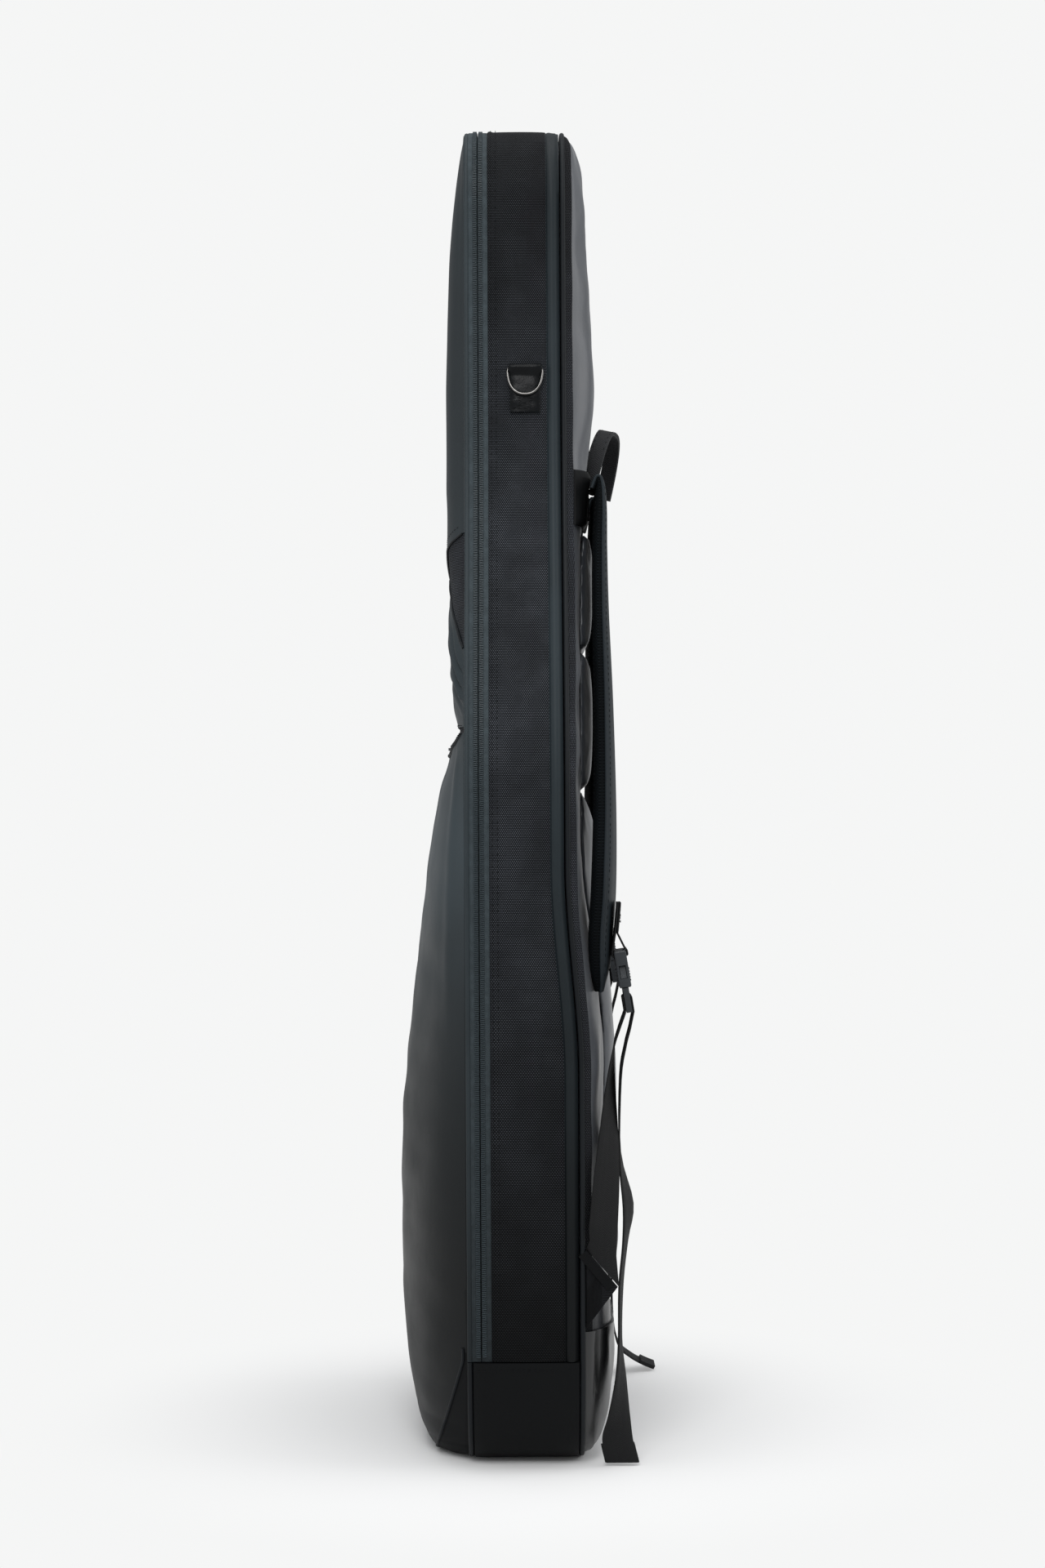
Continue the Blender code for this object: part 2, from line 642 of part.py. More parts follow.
def make_shell():
    """Side gusset with its half of the main zip, bottom boot and back piping."""
    above = FOLD_HEIGHT + SEAT
    below = FOLD_HEIGHT - SEAT

    def gusset_back(height):
        return back_seam_y(height) - PIPING_RADIUS - SEAT

    def arch(inset):
        return rim_arch(inset, above)

    def cup(inset):
        return rim_cup(inset, below)

    for name, side in (("side_gusset_near", 1), ("side_gusset_far", -1)):
        def half(inset, way=side):
            return rim_half(inset, above, way)

        make_band(name, half, 0.0, GUSSET_WALL, lambda height: GUSSET_FRONT_Y + SEAT,
                  gusset_back, "canvas")
    make_band("zip_tape_body", arch, SEAT, TAPE_THICKNESS,
              lambda height: ZIP_LINE_Y + ZIP_SPLIT / 2, lambda height: GUSSET_FRONT_Y,
              "zip_tape")
    make_band("bottom_boot", cup, 0.0, BOOT_WALL,
              lambda height: FRONT_SEAM_Y + PIPING_RADIUS + SEAT, gusset_back, "boot_cloth")
    loop = [(x, back_seam_y(height), z) for x, z, height in rim_loop(PIPING_RADIUS)]
    sweep("back_piping", tube_rings(loop, PIPING_RADIUS, PIPING_SIDES, True), "piping", True)


def make_back():
    """Padded back panel, its boot and the cushions sewn on it."""
    heights = levels(0.0, SEAM_HEIGHT)
    outer = surface_grid(heights, COLUMN_SHARES, PANEL_INSET, back_y)
    inner = surface_grid(heights, COLUMN_SHARES, PANEL_INSET, back_inner_y)
    slab("back_panel", outer, inner, "back_cloth")

    boot_rows = levels(0.0, BACK_BOOT_TOP)
    boot_inner = surface_grid(boot_rows, COLUMN_SHARES, PANEL_INSET, back_y)
    slab("back_boot", shift_y(boot_inner, SEAT + BOOT_SKIN), shift_y(boot_inner, SEAT),
         "boot_cloth")

    for name, (low_share, high_share, width_share) in PAD_PLACE_SHARES.items():
        low, high = low_share * SEAM_HEIGHT, high_share * SEAM_HEIGHT
        edges = [low + (high - low) * share for share in PAD_ROW_SHARES]
        under, over = [], []
        for height in sorted(set(edges + levels(low, high))):
            row_crown = np.interp(height, edges, PAD_ROW_CROWN_SHARES)
            narrow = np.interp(height, edges, PAD_ROW_WIDTH_SHARES)
            reach = half_width(height) - PANEL_INSET
            under_row, over_row = [], []
            for column_share, crown in zip(PAD_COLUMN_SHARES, PAD_COLUMN_CROWN_SHARES):
                column = column_share * width_share * narrow
                y = back_skin_y(height, column) + SOFT_SEAT
                rise = PAD_THICKNESS * min(row_crown, crown)
                under_row.append((column * reach, y, height))
                over_row.append((column * reach, y + rise, height))
            under.append(under_row)
            over.append(over_row)
        slab(name, over, under, "back_cloth")


def make_inside():
    """Neck rest with its two closing straps, and the bumper under the guitar's body."""
    low, high = (share * SEAM_HEIGHT for share in CRADLE_SHARES)
    seat_y = min(back_inner_y(height, 0.0) for height in levels(low, high)) - SOFT_SEAT
    profile = [(-CRADLE_HALF_WIDTH, seat_y), (-CRADLE_HALF_WIDTH, CRADLE_TOP_Y)]
    for step in range(CHANNEL_STEPS + 1):
        turn = math.pi * step / CHANNEL_STEPS
        profile.append((-CHANNEL_HALF_WIDTH * math.cos(turn),
                        CRADLE_TOP_Y + CHANNEL_DEPTH * math.sin(turn)))
    profile += [(CRADLE_HALF_WIDTH, CRADLE_TOP_Y), (CRADLE_HALF_WIDTH, seat_y)]
    sweep("neck_cradle", [[(x, y, height) for x, y in profile] for height in (low, high)], "foam")

    low, high = (share * SEAM_HEIGHT for share in NECK_STRAP_SHARES)
    top = CRADLE_TOP_Y - SOFT_SEAT
    for name, side in (("neck_strap_near", 1), ("neck_strap_far", -1)):
        place = (side * NECK_STRAP_PIVOT_X, top - NECK_STRAP_THICKNESS / 2, (low + high) / 2)
        pivot = add_pivot(name + "_pivot", place)
        x_out = side * (NECK_STRAP_PIVOT_X + NECK_STRAP_THICKNESS / 2)
        x_in = side * NECK_STRAP_PARTING / 2
        rings = [[(x, top, height), (x, top - NECK_STRAP_THICKNESS, height)]
                 for x in (x_out, x_in) for height in (low, high)]
        strip = [rings[0] + rings[1][::-1], rings[2] + rings[3][::-1]]
        sweep(name, strip, "webbing", carrier=pivot)

    base_z = BOOT_WALL + SEAT
    front, back = BUMPER_Y
    outline = [(-BUMPER_HALF_WIDTH, base_z), (BUMPER_HALF_WIDTH, base_z),
               (BUMPER_HALF_WIDTH, base_z + BUMPER_HEIGHT),
               (-BUMPER_HALF_WIDTH, base_z + BUMPER_HEIGHT)]
    sweep("bottom_bumper", [[(x, y, z) for x, z in outline] for y in (front, back)], "foam")


# Lid with its pockets

def make_toe():
    """Part of the front below the fold line, which stays with the boot."""
    below = FOLD_HEIGHT - SEAT
    heights = levels(0.0, below)
    panel_outer = surface_grid(heights, COLUMN_SHARES, PANEL_INSET, front_y)
    panel_inner = surface_grid(heights, COLUMN_SHARES, PANEL_INSET, front_inner_y)
    slab("toe_panel", panel_outer, panel_inner, "canvas")

    loop = rim_cup(PIPING_RADIUS, below)
    path = [(x, FRONT_SEAM_Y, z) for x, z, height in loop]
    sweep("toe_piping", tube_rings(path, PIPING_RADIUS, PIPING_SIDES), "piping")

    outer, inner = [], []
    for index, height in enumerate([0.0] + heights):
        x_rim, z_rim = rim_point(height, PANEL_INSET)
        outer_row, inner_row = [], []
        for column in COLUMN_SHARES:
            rear = front_y(height, 0.0 if index < 2 else column) - SOFT_SEAT
            rear -= TOE_REAR_GAP if index < 2 else 0.0
            face = pocket_y(height, column)
            lining = min(face + POCKET_CLOTH, rear - SOFT_SEAT)
            x = column * x_rim
            floor = max(z_rim, PANEL_INSET + TOE_FLOOR_WALL)
            if index == 0:
                outer_row.append((x, rear, z_rim))
                inner_row.append((x, rear, floor))
            else:
                outer_row.append((x, face, z_rim))
                inner_row.append((x, lining, floor))
        outer.append(outer_row)
        inner.append(inner_row)
    slab("pocket_toe", outer, inner, "boot_cloth")


def make_lid(hinge):
    """Front panel, its piping and zip tape, and both pockets, all on the lid's hinge."""
    above = FOLD_HEIGHT + SEAT
    heights = levels(above, SEAM_HEIGHT)
    outer = surface_grid(heights, COLUMN_SHARES, PANEL_INSET, front_y)
    inner = surface_grid(heights, COLUMN_SHARES, PANEL_INSET, front_inner_y)
    slab("front_panel", outer, inner, "smooth_cloth", hinge)

    loop = rim_arch(PIPING_RADIUS, above)
    path = [(x, FRONT_SEAM_Y, z) for x, z, height in loop]
    sweep("front_piping", tube_rings(path, PIPING_RADIUS, PIPING_SIDES), "piping",
          carrier=hinge)

    def arch(inset):
        return rim_arch(inset, above)

    make_band("zip_tape_lid", arch, SEAT, TAPE_THICKNESS,
              lambda height: FRONT_SEAM_Y + PIPING_RADIUS + SEAT,
              lambda height: ZIP_LINE_Y - ZIP_SPLIT / 2, "zip_tape", hinge)

    rows = levels(above, POCKET_MOUTH)
    outer = surface_grid(rows, COLUMN_SHARES, PANEL_INSET, pocket_y)
    inner = surface_grid(rows, COLUMN_SHARES, PANEL_INSET, pocket_lining_y)
    slab("lower_pocket", outer, inner, "smooth_cloth", hinge)

    rows = levels(UPPER_POCKET_BASE, UPPER_POCKET_TOP)
    outer = surface_grid(rows, COLUMN_SHARES, PANEL_INSET, upper_pocket_y)
    inner = surface_grid(rows, COLUMN_SHARES, PANEL_INSET, upper_lining_y)
    slab("upper_pocket", outer, inner, "canvas", hinge)


def pocket_lining_y(height, column):
    lining = pocket_y(height, column) + POCKET_CLOTH
    return min(lining, front_y(height, column) - SOFT_SEAT)


def upper_lining_y(height, column):
    lining = upper_pocket_y(height, column) + POCKET_CLOTH
    return min(lining, front_y(height, column) - SOFT_SEAT)


def make_pocket_zip(hinge):
    """Zip in the lower pocket's mouth, with its welt."""
    x_rim, z_rim = rim_point(POCKET_MOUTH, PANEL_INSET)
    over = z_rim + SEAT
    columns = [share for share in COLUMN_SHARES if abs(share) <= WELT_SPAN_SHARE]
    rear = [(column * x_rim, front_y(POCKET_MOUTH, column) - SOFT_SEAT) for column in columns]
    face = [(column * x_rim, pocket_y(POCKET_MOUTH, column)) for column in columns]
    rings = [[(x, y, over), (x, y_face, over), (x, y_face, over + TAPE_THICKNESS),
              (x, y, over + TAPE_THICKNESS)] for (x, y), (_, y_face) in zip(rear, face)]
    sweep("pocket_zip_tape", rings, "zip_tape", carrier=hinge)

    drop = WELT_RADIUS + SEAT
    path = [(x, y - drop, over) for x, y in face]
    sweep("pocket_welt", tube_rings(path, WELT_RADIUS, PIPING_SIDES), "piping", carrier=hinge)


# Zip sliders

def make_slider(name, place, outward, closing, carrier_parent):
    """Slider standing on its zip, its wide end leading along its closing direction."""
    out, along = Vector(outward), Vector(closing)
    across = out.cross(along)
    spot = Vector(place)
    pivot = add_pivot(name + "_seat", spot, carrier_parent)

    def world(u, v, w):
        return spot + across * u + along * v + out * w

    half = SLIDER_LENGTH / 2
    nose = SLIDER_HALF_WIDTH * SLIDER_NOSE_SHARE
    plan = [(-nose, -half), (nose, -half), (SLIDER_HALF_WIDTH, -half / 2),
            (SLIDER_HALF_WIDTH, half), (-SLIDER_HALF_WIDTH, half),
            (-SLIDER_HALF_WIDTH, -half / 2)]
    plate = [[world(u, v, w) for u, v in plan] for w in (0.0, SLIDER_THICKNESS)]
    body = sweep(name, plate, "dark_metal", carrier=pivot)
    feet = SLIDER_THICKNESS / 2
    top = SLIDER_THICKNESS + BAIL_RISE
    bend = BAIL_HALF_LENGTH / 2
    inner_bend = bend - BAIL_WIRE / 2
    inner_half = BAIL_HALF_LENGTH - BAIL_WIRE
    arch = [(-BAIL_HALF_LENGTH, feet), (-BAIL_HALF_LENGTH, SLIDER_THICKNESS + bend),
            (-bend, top), (bend, top), (BAIL_HALF_LENGTH, SLIDER_THICKNESS + bend),
            (BAIL_HALF_LENGTH, feet), (inner_half, feet),
            (inner_half, SLIDER_THICKNESS + inner_bend),
            (inner_bend, top - BAIL_WIRE), (-inner_bend, top - BAIL_WIRE),
            (-inner_half, SLIDER_THICKNESS + inner_bend), (-inner_half, feet)]
    rings = [[world(u, v - BAIL_SETBACK, w) for v, w in arch]
             for u in (-BAIL_WIDTH / 2, BAIL_WIDTH / 2)]
    bail = sweep(name + "_bail", rings, "dark_metal", carrier=pivot)
    join(body, bail)
    return pivot, world


def join(body, part):
    """Boolean union, applied at once; the second shape is removed."""
    modifier = body.modifiers.new("join", "BOOLEAN")
    modifier.operation = "UNION"
    modifier.object = part
    bpy.context.view_layer.update()
    graph = bpy.context.evaluated_depsgraph_get()
    mesh = bpy.data.meshes.new_from_object(body.evaluated_get(graph))
    body.modifiers.clear()
    body.data = mesh
    bpy.data.objects.remove(part, do_unlink=True)


def make_pull(name, seat, world, hang, spread):
    """Flat pull whose eye goes round the slider's bail; it lies along a direction."""
    down, side = Vector(hang), Vector(spread)
    out = (world(0.0, 0.0, 1.0) - world(0.0, 0.0, 0.0)).normalized()
    place = world(0.0, -BAIL_SETBACK, SLIDER_THICKNESS + PULL_OFFSET) - down * PULL_SETBACK
    pivot = add_pivot(name + "_pivot", place, seat)

    def at(u, v, w):
        return place + side * u + down * v + out * w

    thick = PULL_THICKNESS / 2
    bar = PULL_CROSSBAR / 2
    plan = [(-PULL_HALF_WIDTH, -bar), (PULL_HALF_WIDTH, -bar),
            (PULL_HALF_WIDTH, PULL_LENGTH - PULL_HALF_WIDTH),
            (PULL_HALF_WIDTH / 2, PULL_LENGTH), (-PULL_HALF_WIDTH / 2, PULL_LENGTH),
            (-PULL_HALF_WIDTH, PULL_LENGTH - PULL_HALF_WIDTH)]
    rings = [[at(u, v, w) for u, v in plan] for w in (-thick, thick)]
    pull = sweep(name, rings, "dark_metal", carrier=pivot)
    eye = BAIL_WIDTH / 2 + SEAT
    hole = [(-eye, bar), (eye, bar), (eye, bar + PULL_EYE_LENGTH), (-eye, bar + PULL_EYE_LENGTH)]
    rings = [[at(u, v, w) for u, v in hole] for w in (-thick * 3, thick * 3)]
    cut(pull, sweep(name + "_eye", rings, "dark_metal", carrier=pivot))


def make_sliders(lid_hinge):
    """Two main sliders that meet on the far side, and the lower pocket's own."""
    x = -(half_width(SLIDER_MEET_Z) + SEAT)
    step = SLIDER_LENGTH / 2 + SLIDER_PARTING / 2
    for name, way in (("main_slider_upper", 1), ("main_slider_lower", -1)):
        place = (x, ZIP_LINE_Y, SLIDER_MEET_Z + way * step)
        seat, world = make_slider(name, place, (-1, 0, 0), (0, 0, -way), None)
        make_pull(name.replace("slider", "pull"), seat, world, (0, 0, -1), (0, 1, 0))

    z_rim = rim_point(POCKET_MOUTH, PANEL_INSET)[1]
    y = front_y(UPPER_POCKET_BASE, 0.0) - SOFT_SEAT - SLIDER_HALF_WIDTH
    place = (-POCKET_SLIDER_X, y, z_rim + 2 * SEAT + TAPE_THICKNESS)
    seat, world = make_slider("pocket_slider", place, (0, 0, 1), (-1, 0, 0), lid_hinge)
    make_pull("pocket_pull", seat, world, (-1, 0, 0), (0, 1, 0))


# D rings and handles

def make_ring(name, side):
    """Leather tab folded round the bar of a D ring, sewn on the neck's gusset."""
    seat_x = half_width(RING_BAR_HEIGHT) + SEAT
    turn_radius = RING_WIRE_RADIUS + SEAT + TAB_THICKNESS / 2
    bar_x = seat_x + TAB_THICKNESS / 2 + turn_radius
    sewn = [RING_BAR_HEIGHT - drop for drop in (TAB_DROP, TAB_MIDDLE_DROP, TAB_CLOSING_DROP)]
    path = [(half_width(height) + SOFT_SEAT + TAB_THICKNESS / 2, height) for height in sewn]
    outward = TAB_THICKNESS + SEAT
    folded = [(x + outward, height) for x, height in reversed(path)]
    for step in range(TAB_TURN_STEPS + 1):
        turn = math.pi * (1 - step / TAB_TURN_STEPS)
        path.append((bar_x + turn_radius * math.cos(turn),
                     RING_BAR_HEIGHT + turn_radius * math.sin(turn)))
    path += folded
    points = [(side * x, RING_Y, z) for x, z in path]
    halves = [(0.0, TAB_HALF_WIDTH, 0.0)] * len(points)
    sweep(name + "_tab", ribbon_rings(points, halves, TAB_THICKNESS), "leather")

    # The ring leans out from the gusset, which slopes here
    spread = half_width(RING_BAR_HEIGHT - RING_DROP) - half_width(RING_BAR_HEIGHT)
    lean = RING_LEAN + math.atan2(spread, RING_DROP)
    pivot = add_pivot(name + "_pivot", (side * bar_x, RING_Y, RING_BAR_HEIGHT))
    wire = [(side * bar_x, RING_Y + RING_HALF_WIDTH * share, RING_BAR_HEIGHT)
            for share in (-0.7, 0.0, 0.7)]
    for step in range(RING_STEPS + 1):
        turn = math.pi * step / RING_STEPS
        fall = RING_DROP * math.sin(turn) ** 0.8
        wire.append((side * (bar_x + fall * math.sin(lean)),
                     RING_Y + RING_HALF_WIDTH * math.cos(turn),
                     RING_BAR_HEIGHT - fall * math.cos(lean)))
    sweep(name, tube_rings(wire, RING_WIRE_RADIUS, WIRE_SIDES, True), "chrome", True, pivot)


def make_grab_handle():
    """Webbing bar sewn across the back and the loop that stands up from it."""
    low, high = (share * SEAM_HEIGHT for share in HANDLE_BASE_SHARES)
    under = max(back_y(height, 0.0) for height in levels(low, high)) + SOFT_SEAT
    rings = [[(-HANDLE_BASE_HALF_SPAN, y, low), (HANDLE_BASE_HALF_SPAN, y, low),
              (HANDLE_BASE_HALF_SPAN, y, high), (-HANDLE_BASE_HALF_SPAN, y, high)]
             for y in (under, under + HANDLE_BASE_THICKNESS)]
    sweep("grab_handle_base", rings, "webbing")

    foot_y = under + HANDLE_BASE_THICKNESS + SEAT + HANDLE_WEB_WIDTH / 2
    foot = Vector((0.0, foot_y, high - HANDLE_PIVOT_DROP))
    pivot = add_pivot("grab_handle_pivot", foot)
    lean = Matrix.Rotation(-HANDLE_LEAN, 3, "X")
    path, halves = [], []
    for step in range(HANDLE_STEPS + 1):
        turn = math.pi * step / HANDLE_STEPS
        spread = math.copysign(abs(math.cos(turn)) ** 0.7, math.cos(turn))
        flat = Vector((HANDLE_HALF_SPAN * spread, 0.0, HANDLE_RISE * math.sin(turn) ** 0.8))
        path.append(foot + lean @ flat)
        halves.append(lean @ Vector((0.0, HANDLE_WEB_WIDTH / 2, 0.0)))
    rings = ribbon_rings(path, halves, HANDLE_WEB_THICKNESS)
    sweep("grab_handle", rings, "webbing", carrier=pivot)


def make_carry_handle():
    """Webbing handle with a padded grip on the far side, and its two sewn patches."""
    web_x = half_width(CARRY_CENTRE_Z) + SEAT + CARRY_WEB_THICKNESS / 2
    inner = CARRY_HALF_SPAN - CARRY_PATCH_LENGTH * CARRY_BEND_SHARE
    path = [Vector((-web_x, CARRY_Y, CARRY_CENTRE_Z - CARRY_HALF_SPAN))]
    for step in range(CARRY_STEPS + 1):
        turn = math.pi * step / CARRY_STEPS
        path.append(Vector((-(web_x + CARRY_RISE * math.sin(turn) ** 1.5), CARRY_Y,
                            CARRY_CENTRE_Z - inner * math.cos(turn))))
    path.append(Vector((-web_x, CARRY_Y, CARRY_CENTRE_Z + CARRY_HALF_SPAN)))
    halves = [(0.0, CARRY_WEB_HALF_WIDTH, 0.0)] * len(path)
    sweep("carry_handle", ribbon_rings(path, halves, CARRY_WEB_THICKNESS), "webbing")

    # Grip: an open sleeve round the middle of the handle, its seam towards the bag
    hollow = CARRY_WEB_THICKNESS / 2 + SEAT
    thick = hollow + GRIP_PADDING
    slot = CARRY_WEB_HALF_WIDTH + SEAT
    wide = slot + GRIP_PADDING
    soft = GRIP_PADDING * GRIP_ROUND_SHARE
    outer = [(-thick, GRIP_SEAM), (-thick, wide - soft), (soft - thick, wide),
             (thick - soft, wide), (thick, wide - soft)]
    inside = [(hollow, slot), (-hollow, slot), (-hollow, GRIP_SEAM)]
    section = outer + [(n, -y) for n, y in reversed(outer)]
    section += [(n, -y) for n, y in reversed(inside)] + inside
    rings = []
    for before, centre, after in zip(path, path[1:], path[2:]):
        if abs(centre.z - CARRY_CENTRE_Z) > GRIP_HALF_LENGTH:
            continue
        along = (after - before).normalized()
        out = Vector((0.0, 1.0, 0.0)).cross(along)
        out = out if out.x < 0 else -out
        rings.append([centre + out * n + Vector((0.0, y, 0.0)) for n, y in section])
    sweep("carry_grip", rings, "leather")

    over = CARRY_WEB_HALF_WIDTH + CARRY_PATCH_OVERHANG
    patch_x = web_x + CARRY_WEB_THICKNESS / 2 + SEAT
    for name, way in (("carry_patch_upper", 1), ("carry_patch_lower", -1)):
        ends = sorted((CARRY_CENTRE_Z + way * (CARRY_HALF_SPAN + CARRY_PATCH_OVERHANG),
                       CARRY_CENTRE_Z + way * (CARRY_HALF_SPAN - CARRY_PATCH_LENGTH / 2)))
        rings = [[(-x, CARRY_Y - over, ends[0]), (-x, CARRY_Y + over, ends[0]),
                  (-x, CARRY_Y + over, ends[1]), (-x, CARRY_Y - over, ends[1])]
                 for x in (patch_x, patch_x + CARRY_PATCH_THICKNESS)]
        sweep(name, rings, "leather")


# Shoulder straps

def strap_frames(side):
    """Centre, half width vector and half thickness along a padded strap."""
    frames = []
    for row in spline(STRAP_ROUTE_SHARES, STRAP_STEPS):
        centre = Vector((side * row[0] * HALF_WIDTH, row[1] * BACK_REACH, row[2] * SEAM_HEIGHT))
        slope = row[5]
        half = Vector((side, -slope, 0.0)).normalized() * row[3] * STRAP_HALF_WIDTH
        frames.append((centre, half, row[4] * STRAP_HALF_THICKNESS))
    return frames


def make_strap(name, side):
    frames = strap_frames(side)
    rings = []
    for index, (centre, half, thick) in enumerate(frames):
        ahead = frames[min(index + 1, len(frames) - 1)][0]
        behind = frames[max(index - 1, 0)][0]
        rise = half.cross(ahead - behind).normalized() * thick
        rings.append([centre + half * u + rise * w for u, w in STRAP_SECTION_SHARES])
    sweep("shoulder_strap_" + name, rings, "strap_cloth")

    low, high = (share * SEAM_HEIGHT for share in ANCHOR_SHARES)
    under, over = [], []
    for height in levels(low, high):
        reach = half_width(height) - PANEL_INSET
        columns = sorted(side * share for share in ANCHOR_COLUMN_SHARES)
        row = [(column * reach, back_skin_y(height, column) + ANCHOR_CLEARANCE, height)
               for column in columns]
        under.append(row)
        over.append([(x, y + ANCHOR_THICKNESS, z) for x, y, z in row])
    slab("strap_anchor_" + name, over, under, "boot_cloth")


def buckle_frame(side):
    """Place and turn of a buckle: local X across, Y outwards, Z up along the webbing."""
    place = Vector((side * BUCKLE_X_SHARE * HALF_WIDTH, BUCKLE_TOP_Y, BUCKLE_TOP_Z))
    return Matrix.Translation(place) @ Matrix.Rotation(BUCKLE_TILT, 4, "X")


def local_solid(name, outline, half_depth, finish_name, frame):
    """Plate with an outline in its own X and Z, placed by its location and rotation."""
    rings = [[(x, y, z) for x, z in outline] for y in (-half_depth, half_depth)]
    piece = sweep(name, rings, finish_name)
    piece.matrix_world = frame
    return piece


def rounded_box(name, size, centre, finish_name, frame, corner):
    """Block with rounded edges, from its half sizes, in a local frame."""
    shape = bmesh.new()
    bmesh.ops.create_cube(shape, size=2.0)
    bmesh.ops.scale(shape, vec=size, verts=shape.verts)
    bmesh.ops.bevel(shape, geom=shape.edges[:], offset=corner, segments=2, affect="EDGES",
                    profile=0.5)
    bmesh.ops.translate(shape, vec=centre, verts=shape.verts)
    mesh = bpy.data.meshes.new(name)
    shape.to_mesh(mesh)
    shape.free()
    mesh.shade_smooth()
    mesh.set_sharp_from_angle(angle=math.radians(40))
    mesh.materials.append(finish(finish_name))
    piece = bpy.data.objects.new(name, mesh)
    bpy.context.collection.objects.link(piece)
    piece.matrix_world = frame
    return piece


def plain_box(name, size, centre, frame):
    """Block used to cut an opening, from its half sizes, in a local frame."""
    shape = bmesh.new()
    bmesh.ops.create_cube(shape, size=2.0)
    bmesh.ops.scale(shape, vec=size, verts=shape.verts)
    bmesh.ops.translate(shape, vec=centre, verts=shape.verts)
    mesh = bpy.data.meshes.new(name)
    shape.to_mesh(mesh)
    shape.free()
    piece = bpy.data.objects.new(name, mesh)
    bpy.context.collection.objects.link(piece)
    piece.matrix_world = frame
    return piece


def make_buckle(name, side):
    """Side release buckle: a socket on the strap and a pronged plug that holds the webbing."""
    frame = buckle_frame(side)
    half_length = SOCKET_LENGTH / 2
    socket = rounded_box("buckle_socket_" + name,
                         (BUCKLE_HALF_WIDTH, BUCKLE_HALF_DEPTH, half_length),
                         (0.0, 0.0, -half_length), "buckle_plastic", frame, SOCKET_CORNER)
    slot_z = -(2 * SOCKET_BAR_RADIUS + SOCKET_SLOT / 2)
    cavity_top = slot_z - SOCKET_SLOT / 2 - SOCKET_WALL
    cavity_half = (SOCKET_LENGTH + cavity_top) / 2 + SOCKET_WALL
    cavity_x = BUCKLE_HALF_WIDTH - SOCKET_WALL
    cavity_y = BUCKLE_HALF_DEPTH - SOCKET_WALL
    window_z = cavity_top - SOCKET_WINDOW_DROP / 2 - SOCKET_WALL
    cuts = (
        ("slot", (WEB_HALF_WIDTH + SOFT_SEAT, 2 * BUCKLE_HALF_DEPTH, SOCKET_SLOT / 2),
         (0.0, 0.0, slot_z)),
        ("cavity", (cavity_x, cavity_y, cavity_half), (0.0, 0.0, cavity_top - cavity_half)),
        ("window", (2 * BUCKLE_HALF_WIDTH, cavity_y, SOCKET_WINDOW_LENGTH / 2),
         (0.0, 0.0, window_z)),
    )
    for label, size, centre in cuts:
        cut(socket, plain_box(label + "_" + name, size, centre, frame))

    # The plug's plan: prongs and guide inside the socket, then a frame with two slots
    shoulder = -SOCKET_LENGTH - PLUG_CLEARANCE
    reach = cavity_x - PLUG_CLEARANCE
    prong_in = reach - PRONG_WIDTH
    tip = window_z + SOCKET_WINDOW_LENGTH / 2 - PLUG_CLEARANCE
    barb_low = window_z - SOCKET_WINDOW_LENGTH / 2 + PLUG_CLEARANCE
    barb_x = reach + PRONG_BARB
    frame_low = shoulder - PLUG_FRAME_LENGTH
    guide_top = cavity_top - PLUG_CLEARANCE
    wide = BUCKLE_HALF_WIDTH
    right = [(wide, frame_low), (wide, shoulder), (reach, shoulder), (reach, barb_low),
             (barb_x, barb_low), (reach, tip), (prong_in, tip), (prong_in, shoulder + PLUG_BAR),
             (GUIDE_HALF_WIDTH, shoulder + PLUG_BAR), (GUIDE_HALF_WIDTH, guide_top)]
    outline = right + [(-x, z) for x, z in reversed(right)]
    plug = local_solid("buckle_plug_" + name, outline, PLUG_HALF_DEPTH, "buckle_plastic", frame)
    for index in range(2):
        centre_z = shoulder - PLUG_BAR - PLUG_SLOT / 2 - index * (PLUG_BAR + PLUG_SLOT)
        size = (WEB_HALF_WIDTH + SOFT_SEAT, 2 * PLUG_HALF_DEPTH, PLUG_SLOT / 2)
        label = "plug_slot_" + str(index) + "_" + name
        cut(plug, plain_box(label, size, (0.0, 0.0, centre_z), frame))
    return frame, shoulder


def corner_turn(centre, radius, start, end):
    """Points in a buckle's own Y and Z round a corner, from one angle to another."""
    points = []
    for step in range(TURN_STEPS + 1):
        turn = math.radians(start + (end - start) * step / TURN_STEPS)
        points.append((centre[0] + radius * math.cos(turn), centre[1] + radius * math.sin(turn)))
    return points


def make_strap_tab(name, side, frame):
    """Short webbing sewn on the strap's outer face and folded round the socket's bar."""
    gap = SEAT + WEB_THICKNESS / 2
    bar_low = -2 * SOCKET_BAR_RADIUS
    bar_side = BUCKLE_HALF_DEPTH
    round_side = bar_side - SOCKET_CORNER
    around = corner_turn((-round_side, -SOCKET_CORNER), SOCKET_CORNER + gap, 150, 180)
    around += corner_turn((-bar_side, bar_low), gap, 180, 270)
    around += corner_turn((bar_side, bar_low), gap, -90, 0)
    around += corner_turn((round_side, -SOCKET_CORNER), SOCKET_CORNER + gap, 0, 60)
    loop = [frame @ Vector((0.0, y, z)) for y, z in around]

    x = frame.translation.x
    faces = [(centre.z, centre.y + thick) for centre, _, thick in strap_frames(side)]
    heights, outer = zip(*sorted(faces))
    sewn = [BUCKLE_TOP_Z + STRAP_TAB_LENGTH * share for share in TAB_SEWN_SHARES]
    under = [Vector((x, np.interp(z, heights, outer) + TAB_CLEARANCE + gap, z)) for z in sewn]
    over = [point + Vector((0.0, WEB_THICKNESS + SEAT, 0.0)) for point in under]
    path = under[::-1] + loop + over
    halves = [(WEB_HALF_WIDTH, 0.0, 0.0)] * len(path)
    sweep("strap_tab_" + name, ribbon_rings(path, halves, WEB_THICKNESS), "webbing")


